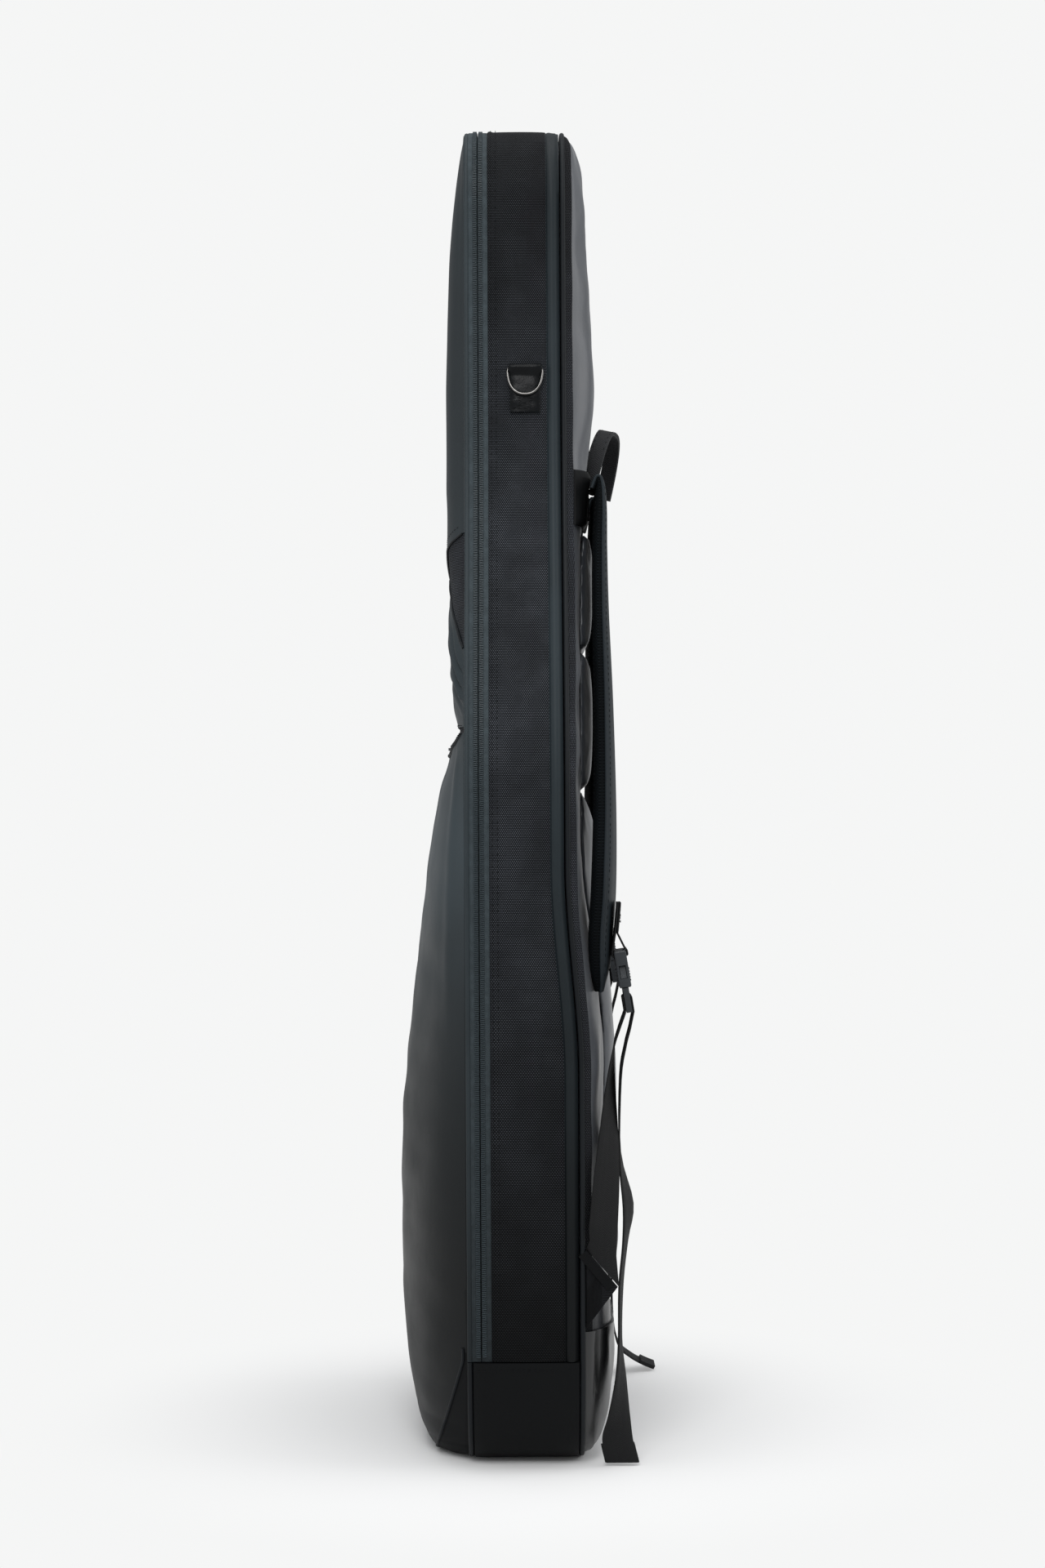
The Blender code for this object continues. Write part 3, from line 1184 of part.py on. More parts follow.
def lower_anchor_corners(side):
    """Corners of the triangular anchor: low and high on the seam, and the free one."""
    low, high = (share * SEAM_HEIGHT for share in LOWER_ANCHOR_SHARES)
    tip = LOWER_ANCHOR_TIP_SHARE * SEAM_HEIGHT

    def corner(height, reach):
        x = side * (half_width(height) - PIPING_RADIUS)
        return Vector((x, back_seam_y(height) + PIPING_RADIUS + SOFT_SEAT + reach, height))

    return corner(low, 0.0), corner(high, 0.0), corner(tip, LOWER_ANCHOR_REACH)


def make_lower_anchor(name, side):
    """Triangle of doubled cloth sewn into the back seam, which holds the webbing."""
    corners = lower_anchor_corners(side)
    shift = Vector((LOWER_ANCHOR_THICKNESS / 2, 0.0, 0.0))
    rings = [[point + shift * way for point in corners] for way in (-1, 1)]
    sweep("lower_anchor_" + name, rings, "canvas")


def route(rows, side):
    """Centre points and half width vectors of webbing that twists along its way."""
    points, halves = [], []
    for row in spline(rows, WEB_STEPS):
        turn = row[3] * math.pi / 2
        points.append(Vector((side * row[0] * HALF_WIDTH, row[1] * BACK_REACH,
                              row[2] * SEAM_HEIGHT)))
        halves.append(Vector((-side * math.cos(turn), math.sin(turn), 0.0)) * WEB_HALF_WIDTH)
    return points, halves


def make_adjuster(name, side, frame, shoulder):
    """Webbing from the lower anchor up behind the plug, through its upper slot, over its
    middle bar and down in front, where it hangs loose as the tail."""
    low, high, tip = lower_anchor_corners(side)
    edge = tip - high
    start = high + edge / 2 + Vector((1.0, 0.0, 0.0)).cross(edge).normalized() * SOFT_SEAT
    load, load_halves = route(LOAD_ROUTE_SHARES, side)
    path = [start] + load
    halves = [edge * (WEB_HALF_WIDTH / edge.y)] + load_halves

    gap = SEAT + WEB_THICKNESS / 2
    bar_top = shoulder - PLUG_BAR - PLUG_SLOT
    foot = shoulder - PLUG_FRAME_LENGTH
    around = [(-PLUG_HALF_DEPTH - gap, foot)]
    around += corner_turn((-PLUG_HALF_DEPTH, bar_top), gap, 180, 90)
    around += corner_turn((PLUG_HALF_DEPTH, bar_top), gap, 90, 0)
    around.append((PLUG_HALF_DEPTH + gap, foot))
    path += [frame @ Vector((0.0, y, z)) for y, z in around]
    halves += [Vector((-side * WEB_HALF_WIDTH, 0.0, 0.0))] * len(around)

    tail, tail_halves = route(TAIL_ROUTE_SHARES[name], side)
    path += tail
    halves += tail_halves
    sweep("adjuster_web_" + name, ribbon_rings(path, halves, WEB_THICKNESS), "webbing")


def main():
    clear_scene()
    make_shell()
    make_back()
    make_inside()
    make_toe()
    fold_y = min(pocket_y(height, 0.0) for height in levels(FOLD_HEIGHT, POCKET_MOUTH)) - SEAT
    lid_hinge = add_pivot("lid_hinge", (0.0, fold_y, FOLD_HEIGHT))
    make_lid(lid_hinge)
    make_pocket_zip(lid_hinge)
    make_sliders(lid_hinge)
    for name, side in (("d_ring_near", 1), ("d_ring_far", -1)):
        make_ring(name, side)
    make_grab_handle()
    make_carry_handle()
    for name, side in (("near", 1), ("far", -1)):
        make_strap(name, side)
        make_lower_anchor(name, side)
        frame, shoulder = make_buckle(name, side)
        make_strap_tab(name, side, frame)
        make_adjuster(name, side, frame, shoulder)


main()
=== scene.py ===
"""A padded gig bag for an electric guitar, standing on a pale floor.

Run in Blender, the script loads the bag's solid parts as a fixed frame, dresses each of them in
its cloth, webbing, zip, leather or metal, and sets up the floor, the lights and the camera.
Metres, +Z up. The lid faces -Y and the padded back, with its shoulder straps, faces +Y.
"""

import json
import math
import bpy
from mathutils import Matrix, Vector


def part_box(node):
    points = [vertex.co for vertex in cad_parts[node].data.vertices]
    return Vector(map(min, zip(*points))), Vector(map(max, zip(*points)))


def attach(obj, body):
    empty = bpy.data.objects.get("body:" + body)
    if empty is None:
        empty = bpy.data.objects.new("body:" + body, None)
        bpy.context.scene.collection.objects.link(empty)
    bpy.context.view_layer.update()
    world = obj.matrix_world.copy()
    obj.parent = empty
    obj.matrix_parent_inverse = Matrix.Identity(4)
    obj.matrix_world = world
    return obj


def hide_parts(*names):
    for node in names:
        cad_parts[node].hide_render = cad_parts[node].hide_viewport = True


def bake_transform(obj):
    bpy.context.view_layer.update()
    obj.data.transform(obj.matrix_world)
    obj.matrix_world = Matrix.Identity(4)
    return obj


bl_info = {
    "name": "Guitar gig bag",
    "version": (1, 0, 0),
    "blender": (4, 5, 0),
    "location": "3D View > Sidebar > Gig bag",
    "description": "Dresses the parts of a padded guitar bag and sets up its stage",
    "category": "Object",
}

import bmesh
import bpy
import numpy as np
from bpy.props import FloatProperty, FloatVectorProperty, PointerProperty
from mathutils import Matrix, Vector

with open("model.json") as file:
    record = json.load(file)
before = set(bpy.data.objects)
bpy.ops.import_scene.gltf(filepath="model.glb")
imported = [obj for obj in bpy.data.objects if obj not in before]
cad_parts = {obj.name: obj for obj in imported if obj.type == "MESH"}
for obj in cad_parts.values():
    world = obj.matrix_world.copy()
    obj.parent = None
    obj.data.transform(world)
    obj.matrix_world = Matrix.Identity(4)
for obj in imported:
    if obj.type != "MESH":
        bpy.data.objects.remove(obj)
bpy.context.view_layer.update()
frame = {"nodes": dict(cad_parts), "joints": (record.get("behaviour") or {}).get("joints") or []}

# Right half of the outline, from the end of the flat base to the crown: for each span two
# handles and an end point, as shares of the half width and of the height
OUTLINE_SPAN_SHARES = (
    ((0.780, 0.000), (0.903, 0.040), (0.937, 0.082)),
    ((0.972, 0.125), (1.000, 0.185), (1.000, 0.257)),
    ((1.000, 0.330), (1.000, 0.400), (1.000, 0.468)),
    ((1.000, 0.575), (0.655, 0.640), (0.580, 0.755)),
    ((0.545, 0.810), (0.530, 0.870), (0.530, 0.930)),
    ((0.530, 0.980), (0.420, 1.000), (0.210, 1.000)),
)

# How far each face stands out of its seam down the middle: share of the height, share of the
# face's fullest depth
DEPTH_SHARES = {
    "front": ((0.0, 0.0), (0.014, 0.10), (0.052, 0.35), (0.082, 0.44), (0.19, 0.50),
              (0.52, 0.55), (0.60, 0.55), (0.63, 0.58), (0.66, 0.67), (0.69, 0.84),
              (0.72, 1.0), (0.80, 1.0), (0.85, 0.92), (0.90, 0.77), (0.93, 0.62),
              (0.955, 0.45), (0.973, 0.30), (0.986, 0.18), (0.995, 0.08), (1.0, 0.0)),
    "back": ((0.0, 0.12), (0.004, 0.25), (0.014, 0.50), (0.030, 0.70), (0.052, 0.84),
             (0.082, 0.92), (0.120, 0.85), (0.160, 0.70), (0.210, 0.65), (0.260, 0.65),
             (0.320, 0.67), (0.380, 0.61), (0.430, 0.43), (0.470, 0.37), (0.500, 0.35),
             (0.570, 0.37), (0.630, 0.40), (0.660, 0.42), (0.690, 0.50), (0.720, 0.59),
             (0.755, 0.79), (0.776, 0.87), (0.800, 0.97), (0.837, 0.89), (0.870, 0.80),
             (0.900, 0.735), (0.938, 0.665), (0.960, 0.60), (0.973, 0.53), (0.986, 0.40),
             (0.995, 0.22), (1.0, 0.0)),
    "pocket": ((0.0, 0.50), (0.006, 0.60), (0.014, 0.70), (0.030, 0.80), (0.052, 0.88),
               (0.082, 0.95), (0.12, 0.99), (0.16, 1.0), (0.21, 1.0), (0.26, 0.945),
               (0.32, 0.83), (0.38, 0.71), (0.43, 0.583), (0.47, 0.458), (0.50, 0.325),
               (0.521, 0.180)),
}
BACK_SEAM_TURN_SHARES = (0.29, 0.44)

# Centre line of a shoulder strap: shares of the half width, of the back's reach and of the
# height, then half width, half thickness and slope as shares
STRAP_ROUTE_SHARES = (
    (0.437, 0.828, 0.7202, 0.80, 0.40, 0.00), (0.437, 0.885, 0.7283, 0.80, 0.50, 0.00),
    (0.440, 0.915, 0.7238, 0.81, 0.66, 0.00), (0.447, 0.922, 0.7071, 0.86, 0.84, 0.01),
    (0.465, 0.913, 0.6748, 0.94, 0.97, 0.03), (0.510, 0.916, 0.6264, 1.00, 1.05, 0.05),
    (0.589, 0.936, 0.5588, 1.00, 1.18, 0.07), (0.684, 0.938, 0.4822, 1.00, 1.30, 0.10),
    (0.763, 0.913, 0.4236, 0.92, 1.36, 0.13), (0.805, 0.874, 0.3904, 0.74, 1.32, 0.15),
    (0.830, 0.857, 0.3661, 0.52, 1.15, 0.13), (0.842, 0.852, 0.3490, 0.16, 0.55, 0.06),
)

# Centre lines of the adjusting webbing in the same shares, then its twist as a share of a
# quarter turn. Both tails leave their buckle in the same way.
LOAD_ROUTE_SHARES = ((0.970, 0.873, 0.1805, 0.70), (0.943, 0.913, 0.2148, 0.60),
                     (0.905, 0.943, 0.2471, 0.40), (0.863, 0.970, 0.2825, 0.18),
                     (0.830, 1.015, 0.3087, 0.03), (0.817, 1.078, 0.3227, 0.00))
TAIL_START_SHARES = ((0.815, 1.194, 0.3223, 0.00), (0.813, 1.142, 0.3088, 0.00),
                     (0.805, 1.087, 0.2852, 0.00))
TAIL_ROUTE_SHARES = {
    "near": ((0.789, 1.078, 0.2293, 0.04), (0.784, 1.170, 0.1917, 0.22),
             (0.784, 1.135, 0.1650, 0.12), (0.784, 1.084, 0.1330, 0.10),
             (0.784, 1.070, 0.0930, 0.08), (0.786, 1.073, 0.0662, 0.22),
             (0.789, 1.052, 0.0393, 0.48), (0.778, 1.035, 0.0215, 0.80),
             (0.764, 1.090, 0.0026, 1.00)),
    "far": ((0.789, 1.078, 0.2293, 0.00), (0.784, 1.157, 0.1917, 0.00),
            (0.789, 1.134, 0.1416, 0.00), (0.816, 1.119, 0.0857, 0.00),
            (0.863, 1.142, 0.0482, 0.00), (0.905, 1.216, 0.0265, 0.00),
            (0.958, 1.366, 0.0154, 0.00), (1.011, 1.537, 0.0072, 0.00),
            (1.047, 1.687, 0.0019, 0.00)),
}

# Points of a flat strap's section: shares of its half width and of its half thickness
RIBBON_SHARES = np.array(((-1.0, -0.35), (-0.965, -1.0), (-0.5, -1.0), (0.0, -1.0),
                          (0.5, -1.0), (0.965, -1.0), (1.0, -0.35), (1.0, 0.35),
                          (0.965, 1.0), (0.5, 1.0), (0.0, 1.0), (-0.5, 1.0),
                          (-0.965, 1.0), (-1.0, 0.35)))

# Sides of the bag: label and the sign of X
SIDES = (("near", 1), ("far", -1))

# Distances between points: along the seams, and up the padded panels
SEAM_STEP, PANEL_STEP = 0.004, 0.005
TABLE_STEPS, TABLE_BLUR_STEPS = 1200, 14

# Clearances: between sewn pieces at the fold line, and between a solid and its webbing
FOLD_GAP, EDGE_GAP, WEB_GAP = 0.0003, 0.0004, 0.0003

# How far panels, and the pockets and cushions on them, stay inside the outline
PANEL_INSET, COVER_INSET = 0.0034, 0.0046
FACE_START, CORD_RADIUS, TRIM_RADIUS = 0.0015, 0.0020, 0.0011
WALL_HEIGHT, EDGE_BAND, GROOVE_PLACE = 0.0058, 0.0062, 0.0066

# Heights of the lid's seams
ARCH_LOW, SLIP_POCKET_LOW, MOUTH_HEIGHT, WEDGE_HEIGHT = 0.686, 0.5610, 0.5405, 0.092

# Low end, high end and half width of the back cushions, as shares of the bag's
PAD_PLACE_SHARES = {
    "back_pad_upper": (0.5990, 0.6890, 0.76),
    "back_pad_middle": (0.4945, 0.5985, 0.76),
    "back_pad_lower": (0.1265, 0.4940, 0.64),
}
STRAP_HALF_WIDTH, STRAP_HALF_THICKNESS = 0.034, 0.0062
BUCKLE_PLACE_SHARES, BUCKLE_DEPTH, BUCKLE_TILT = (0.815, 0.37886), 0.0722, math.radians(9)
STITCH_RADIUS, STITCH_GAP = 0.00032, 0.0012

# Ways that stitches face, and a step just off the lid's cloth
TO_LID, TO_BACK, ON_LID = (0.0, -1.0, 0.0), (0.0, 1.0, 0.0), (0.0, -0.0002, 0.0)


# Settings that a user would change

def length(name, description, default):
    return FloatProperty(name=name, description=description, default=default, unit="LENGTH",
                         subtype="DISTANCE", precision=4)


def colour(name, description, default):
    return FloatVectorProperty(name=name, description=description, default=default, size=3,
                               subtype="COLOR", min=0.0, max=1.0)


def power(name, description, default):
    return FloatProperty(name=name, description=description, default=default, unit="POWER")


class BagSizes(bpy.types.PropertyGroup):
    """Sizes of the bag's cloth parts"""
    seam_height: length("Height", "Height of the bag along its seams", 1.036)
    half_width: length("Half width", "Half of the widest width", 0.190)
    base_half_width: length("Base half width", "Half of the flat base's width", 0.105)
    front_seam: length("Front seam", "Place of the front seam across the depth", -0.0415)
    back_seam_top: length("Back seam, top", "Place of the back seam at the neck", 0.0335)
    back_seam_low: length("Back seam, low", "Place of the back seam at the body", 0.043)
    front_bulge: length("Lid depth", "How far the lid's padding stands out", 0.0155)
    back_bulge: length("Back depth", "How far the back's padding stands out", 0.024)
    pocket_bulge: length("Pocket depth", "How far the lower pocket stands out", 0.051)
    fold_height: length("Fold height", "Height of the line where the lid folds", 0.086)
    zip_line: length("Zip line", "Place of the main zip across the depth", -0.0328)
    zip_pitch: length("Zip pitch", "Distance from tooth to tooth", 0.00145)
    weave_pitch: length("Weave pitch", "Distance between the canvas's yarns", 0.0016)
    stitch: length("Stitch", "Length of a stitch", 0.0030)
    web_half_width: length("Webbing half width", "Half of the strap webbing's width", 0.0122)
    web_thickness: length("Webbing thickness", "Thickness of the strap webbing", 0.0014)


class BagColours(bpy.types.PropertyGroup):
    """Colours of the bag's finishes"""
    canvas: colour("Canvas", "Woven cloth of the side", (0.0110, 0.0128, 0.0158))
    # The canvas yarn colour is a painted highlight: the lit colour of the raised yarn crowns
    yarn_highlight: colour("Canvas yarn", "Lit yarn of the woven cloth", (0.072, 0.078, 0.090))
    smooth: colour("Smooth cloth", "Cloth of the lid and pockets", (0.0105, 0.0146, 0.0170))
    boot: colour("Boot cloth", "Plain cloth round the bottom", (0.0036, 0.0040, 0.0044))
    back: colour("Back cloth", "Soft coated cloth of the back", (0.037, 0.041, 0.048))
    tape: colour("Zip tape", "Tape and teeth of the zips", (0.034, 0.045, 0.051))
    cord: colour("Piping", "Piping along the seams", (0.0050, 0.0064, 0.0078))
    webbing: colour("Webbing", "Woven straps", (0.0050, 0.0052, 0.0056))
    strap: colour("Shoulder strap", "Cloth of the padded straps", (0.0024, 0.0036, 0.0045))
    binding: colour("Binding", "Tape round the padded straps", (0.0115, 0.0155, 0.0185))
    leather: colour("Leather", "Tabs and patches", (0.0022, 0.0028, 0.0034))
    lining: colour("Lining", "Soft cloth inside", (0.060, 0.063, 0.070))
    thread: colour("Thread", "Sewing thread", (0.0045, 0.0050, 0.0056))
    chrome: colour("Ring metal", "Polished rings", (0.115, 0.112, 0.108))
    plastic: colour("Buckle plastic", "Moulded buckles", (0.024, 0.027, 0.030))
    metal: colour("Slider metal", "Dark sliders and pulls", (0.09, 0.09, 0.10))
    floor: colour("Floor", "Floor under the bag", (0.77, 0.77, 0.77))


class StageSettings(bpy.types.PropertyGroup):
    """Camera and lights"""
    camera_distance: length("Camera distance", "From the middle of the bag", 2.2)
    camera_height: length("Camera height", "Above the floor", 0.518)
    lens: FloatProperty(name="Lens", description="Focal length in millimetres", default=62.16,
                        subtype="DISTANCE_CAMERA")
    roll: FloatProperty(name="Roll", description="Tilt of the camera about its own axis",
                        default=math.radians(0.3), unit="ROTATION", subtype="ANGLE")
    sky: FloatProperty(name="Sky", description="Strength of the soft light from all sides",
                       default=0.50, min=0.0)
    side_power: power("Side lamps", "Power of the two side lamps", 9.0)
    top_power: power("Top lamp", "Power of the lamp above", 22.0)
    face_power: power("Camera lamp", "Power of the lamp by the camera", 46.0)


def sizes():
    return bpy.context.scene.bag_sizes


def colours():
    return bpy.context.scene.bag_colours


# Smooth curves and noise

def smooth_table(pairs):
    """Values of a table at even places from 0 to 1, with its corners rounded off."""
    grid = np.linspace(0.0, 1.0, TABLE_STEPS + 1)
    values = np.interp(grid, *zip(*pairs))
    kernel = np.hanning(2 * TABLE_BLUR_STEPS + 3)
    wide = np.pad(values, TABLE_BLUR_STEPS + 1, mode="reflect", reflect_type="odd")
    return np.convolve(wide, kernel / kernel.sum(), mode="valid")


def smoothstep(value):
    value = np.clip(value, 0.0, 1.0)
    return value * value * (3 - 2 * value)


def bell(value, centre, width):
    return np.exp(-((value - centre) / width) ** 2)


def signed_power(value, exponent):
    return np.sign(value) * np.abs(value) ** exponent


def unit(rows):
    """Rows of vectors brought to length 1."""
    return rows / np.linalg.norm(rows, axis=1)[:, None]


def joined(x, y, z):
    """Points from their coordinates, any of which may be the same for all."""
    return np.stack(np.broadcast_arrays(x, y, z), axis=-1).astype(float)


def ripple(first, second, wave, seed):
    """Soft random waves of about a given length, between -1 and 1, at places given in metres."""
    chance = np.random.default_rng(seed)
    total, parts = 0.0, 7
    for _ in range(parts):
        turn = chance.uniform(0, 2 * math.pi)
        rate = 2 * math.pi / (wave * chance.uniform(0.7, 1.6))
        phase = chance.uniform(0, 2 * math.pi)
        total = total + np.sin(rate * (first * math.cos(turn) + second * math.sin(turn)) + phase)
    return total / parts * 1.6


def spline(rows, steps):
    """Rows of numbers joined by a smooth curve with the given steps between rows."""
    table = np.array(rows, dtype=float)
    ends = np.vstack([2 * table[0] - table[1], table, 2 * table[-1] - table[-2]])
    result = []
    for index in range(1, len(ends) - 2):
        before, here, there, after = ends[index - 1:index + 3]
        for t in np.arange(steps) / steps:
            bend = (2 * before - 5 * here + 4 * there - after) * t * t
            bend = bend + (3 * here - before - 3 * there + after) * t * t * t
            result.append(0.5 * (2 * here + (there - before) * t + bend))
    return np.array(result + [ends[-2]])


def travelled(points):
    """Distance along a row of points, from its first one."""
    steps = np.linalg.norm(np.diff(points, axis=0), axis=1)
    return np.concatenate(([0.0], np.cumsum(steps)))


def read_off(places, along, rows):
    """Rows of three numbers read off at places along a line."""
    return np.stack([np.interp(places, along, rows[:, axis]) for axis in range(3)], axis=1)


def resampled(points, pitch):
    """Points of a line at even steps of about the given length."""
    points = np.asarray(points, dtype=float)
    along = travelled(points)
    places = np.linspace(0.0, along[-1], max(int(along[-1] / pitch), 1) + 1)
    return read_off(places, along, points)


# The bag's outline

class Rim:
    """The outline, whose stretches are rows of x, z, outward x and outward z."""

    def __init__(self):
        size = sizes()
        here = np.array((size.base_half_width, 0.0))
        points = []
        t = np.linspace(0.0, 1.0, 61)[:-1, None]
        for spans in OUTLINE_SPAN_SHARES:
            first, second, last = np.array(spans) * (size.half_width, size.seam_height)
            points.append(here * (1 - t) ** 3 + 3 * first * t * (1 - t) ** 2
                          + 3 * second * t * t * (1 - t) + last * t ** 3)
            here = last
        points = np.vstack(points + [here[None, :]])
        self.x, self.z = points.T
        self.along = travelled(points)
        tangent = unit(np.gradient(points, self.along, axis=0))
        self.out_x, self.out_z = tangent[:, 1], -tangent[:, 0]
        self.top = size.seam_height

    def half_width(self, height):
        return np.interp(height, self.z, self.x)

    def at(self, along):
        """x, z, outward x and outward z at distances along the outline."""
        return [np.interp(along, self.along, values)
                for values in (self.x, self.z, self.out_x, self.out_z)]

    def side(self, low, high, pitch=SEAM_STEP):
        """Right side between two heights."""
        start, end = np.interp((low, high), self.z, self.along)
        count = max(int((end - start) / pitch), 2)
        return np.stack(self.at(np.linspace(start, end, count + 1)), axis=1)

    def mirrored(self, rows):
        return rows[::-1] * np.array((-1, 1, -1, 1))

    def level(self, x_start, height, out_z, pitch):
        """Straight stretch from one side to the other, without its ends."""
        x = np.linspace(x_start, -x_start, max(int(abs(2 * x_start) / pitch), 2) + 1)[1:-1]
        return np.stack((x, height + 0 * x, 0 * x, out_z + 0 * x), axis=1)

    def arch(self, low, pitch=SEAM_STEP):
        """From a height on the right, over the crown, down to that height on the left."""
        right = self.side(low, self.top, pitch)
        crown = self.level(right[-1, 0], self.top, 1.0, pitch)
        return np.vstack([right, crown, self.mirrored(right)])

    def cup(self, high, pitch=SEAM_STEP):
        """From a height on the left, under the base, up to that height on the right."""
        right = self.side(0.0, high, pitch)
        return np.vstack([self.mirrored(right), self.level(-right[0, 0], 0.0, -1.0, pitch),
                          right])

    def loop(self, pitch=SEAM_STEP):
        return np.vstack([self.arch(0.0, pitch), self.level(-self.x[0], 0.0, -1.0, pitch)])


def back_seam(height):
    """Place of the back seam: the bag is a little deeper at its body than at its neck."""
    size = sizes()
    low, high = (share * size.seam_height for share in BACK_SEAM_TURN_SHARES)
    t = smoothstep((height - low) / (high - low))
    return size.back_seam_low + (size.back_seam_top - size.back_seam_low) * t


def crown_share(path):
    """0 along the sides, 1 round the crown, where the cloths are drawn down to the seams."""
    return smoothstep((path[:, 1] / sizes().seam_height - 0.93) / 0.06)


TABLES = {name: smooth_table(pairs) for name, pairs in DEPTH_SHARES.items()}


def depth(name, height):
    places = np.linspace(0.0, 1.0, TABLE_STEPS + 1) * sizes().seam_height
    return np.interp(height, places, TABLES[name])


# Faces of the padded panels, from a height and a place across (-1 to 1)

def dome(across, flat=0.70):
    over = np.maximum(np.abs(across) - flat, 0.0) / (1.0 - flat)
    return 1.0 - over * over


def front_face(height, across):
    """Outer face of the lid, drawn in a little along the lower pocket's mouth."""
    size = sizes()
    out = depth("front", height) * size.front_bulge - 0.0032 * bell(height, 0.561, 0.011)
    return size.front_seam - FACE_START - np.maximum(out, 0.0) * dome(across)


def lining_depth(name, height, across, bulge):
    """How far the lining behind a padded panel stands out of its seam."""
    return np.maximum(depth(name, height) * bulge - 0.008, 0.0) * dome(across) - FACE_START


def front_lining(height, across):
    size = sizes()
    return size.front_seam - lining_depth("front", height, across, size.front_bulge)


def back_face(height, across, rim):
    """Flange that stands up from the seam, a sewn groove, and the soft panel inside it."""
    full = depth("back", height) * sizes().back_bulge
    wide = rim.half_width(height)
    from_rim = (1.0 - np.abs(across)) * wide
    wall = np.minimum(WALL_HEIGHT, 0.62 * full)
    groove = 0.0011 * bell(from_rim, GROOVE_PLACE, 0.0012) * smoothstep(full / 0.006)
    inward = np.clip((from_rim - GROOVE_PLACE) / (0.30 * wide - GROOVE_PLACE), 0.0, 1.0)
    soft = (full - wall) * (1.0 - (1.0 - inward) ** 2.2)
    return back_seam(height) + FACE_START + wall * smoothstep(from_rim / 0.0042) - groove + soft


def back_lining(height, across):
    return back_seam(height) + lining_depth("back", height, across, sizes().back_bulge)


def inset_rise(height, across):
    """How far the woven inset above the slip pocket stands out of the lid's face."""
    hill = smoothstep((height - 0.615) / 0.070) * smoothstep((0.742 - height) / 0.050)
    hill = 0.0040 * hill * (1.0 - np.abs(across) ** 4)
    return hill - 0.0009 * smoothstep((1.0 - np.abs(across)) * 12)


def pocket_face(height, across):
    roundness = 6.0 + (3.4 - 6.0) * np.clip(height / 0.030, 0.0, 1.0)
    out = depth("pocket", height) * sizes().pocket_bulge
    step = 0.0042 - 0.0032 * np.abs(across) ** 14
    return front_face(height, 1.0) - step - out * (1.0 - np.abs(across) ** roundness)


def arch_seam(across):
    """Height of the head panel's lower edge, which dips towards the middle."""
    return ARCH_LOW + 0.0265 * np.abs(across) ** 1.6


def upper_pocket_edge(across):
    """Height of the upper pocket's top edge, which rises towards the middle."""
    return 0.683 - 0.064 * np.abs(across) ** 2.4


def mouth_edge(across):
    """Height of the lower pocket's mouth, higher at its two ends."""
    return MOUTH_HEIGHT + 0.0170 * np.abs(across) ** 4


# Meshes

def material(name):
    return bpy.data.materials["bag " + name]


def new_piece(name, points, faces, finishes, uv=None, slots=None, sharp=40.0):
    """Object at the origin with the given points, faces pointing outwards."""
    mesh = bpy.data.meshes.new(name)
    mesh.from_pydata(np.asarray(points, dtype=float).reshape(-1, 3).tolist(), [], faces)
    for finish in finishes:
        mesh.materials.append(material(finish))
    if slots is not None:
        mesh.polygons.foreach_set("material_index", np.asarray(slots, dtype=np.int32))
    if uv is not None:
        layer = mesh.uv_layers.new(name="Cloth")
        layer.data.foreach_set("uv", np.asarray(uv, dtype=np.float32).ravel())
    turn_outwards(mesh)
    mesh.shade_smooth()
    mesh.set_sharp_from_angle(angle=math.radians(sharp))
    piece = bpy.data.objects.new(name, mesh)
    bpy.context.collection.objects.link(piece)
    return piece


def turn_outwards(mesh, merge=0.0):
    """Merges points that are closer than a given distance and turns all faces outwards."""
    shape = bmesh.new()
    shape.from_mesh(mesh)
    if merge:
        bmesh.ops.remove_doubles(shape, verts=shape.verts, dist=merge)
    bmesh.ops.recalc_face_normals(shape, faces=shape.faces)
    shape.to_mesh(mesh)
    shape.free()


def dress(piece, body, slot, *nodes):
    """Names a piece's finish, the solids that it stands for and the body that it moves with.

    A piece without a body is cloth near the fold line, which bends between the bag and its lid.
    """
    if nodes:
        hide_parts(*nodes)
    if body:
        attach(piece, body)
    else:
        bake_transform(piece)
    return piece


def shell(name, outer, inner, finishes, choose=None):
    """Closed solid between two grids of points, with cloth coordinates in metres."""
    rows, columns = outer.shape[:2]
    index = np.arange(rows * columns).reshape(rows, columns)
    back = rows * columns
    front = np.stack((index[:-1, :-1], index[:-1, 1:], index[1:, 1:], index[1:, :-1]),
                     axis=2).reshape(-1, 4)
    edge = np.concatenate([index[0], index[1:, -1], index[-1, -2::-1], index[-2:0:-1, 0]])
    after = np.roll(edge, -1)
    wall = np.stack((edge, edge + back, after + back, after), axis=1)
    faces = np.vstack([front, front[:, ::-1] + back, wall])
    slots = np.ones(len(faces), dtype=np.int32) * (len(finishes) > 1)
    slots[:len(front)] = 0 if choose is None else choose(outer).ravel()
    slots[2 * len(front):] = 0
    across = np.linalg.norm(np.diff(outer, axis=1), axis=2)
    u = np.concatenate([np.zeros((rows, 1)), np.cumsum(across, axis=1)], axis=1)
    u = u - u[:, columns // 2][:, None]
    v = np.broadcast_to(travelled(outer[:, columns // 2])[:, None], u.shape)
    flat = np.tile(np.stack((u, v), axis=2).reshape(-1, 2), (2, 1))
    points = np.vstack([outer.reshape(-1, 3), inner.reshape(-1, 3)])
    return new_piece(name, points, faces.tolist(), finishes, flat[faces.ravel()], slots)


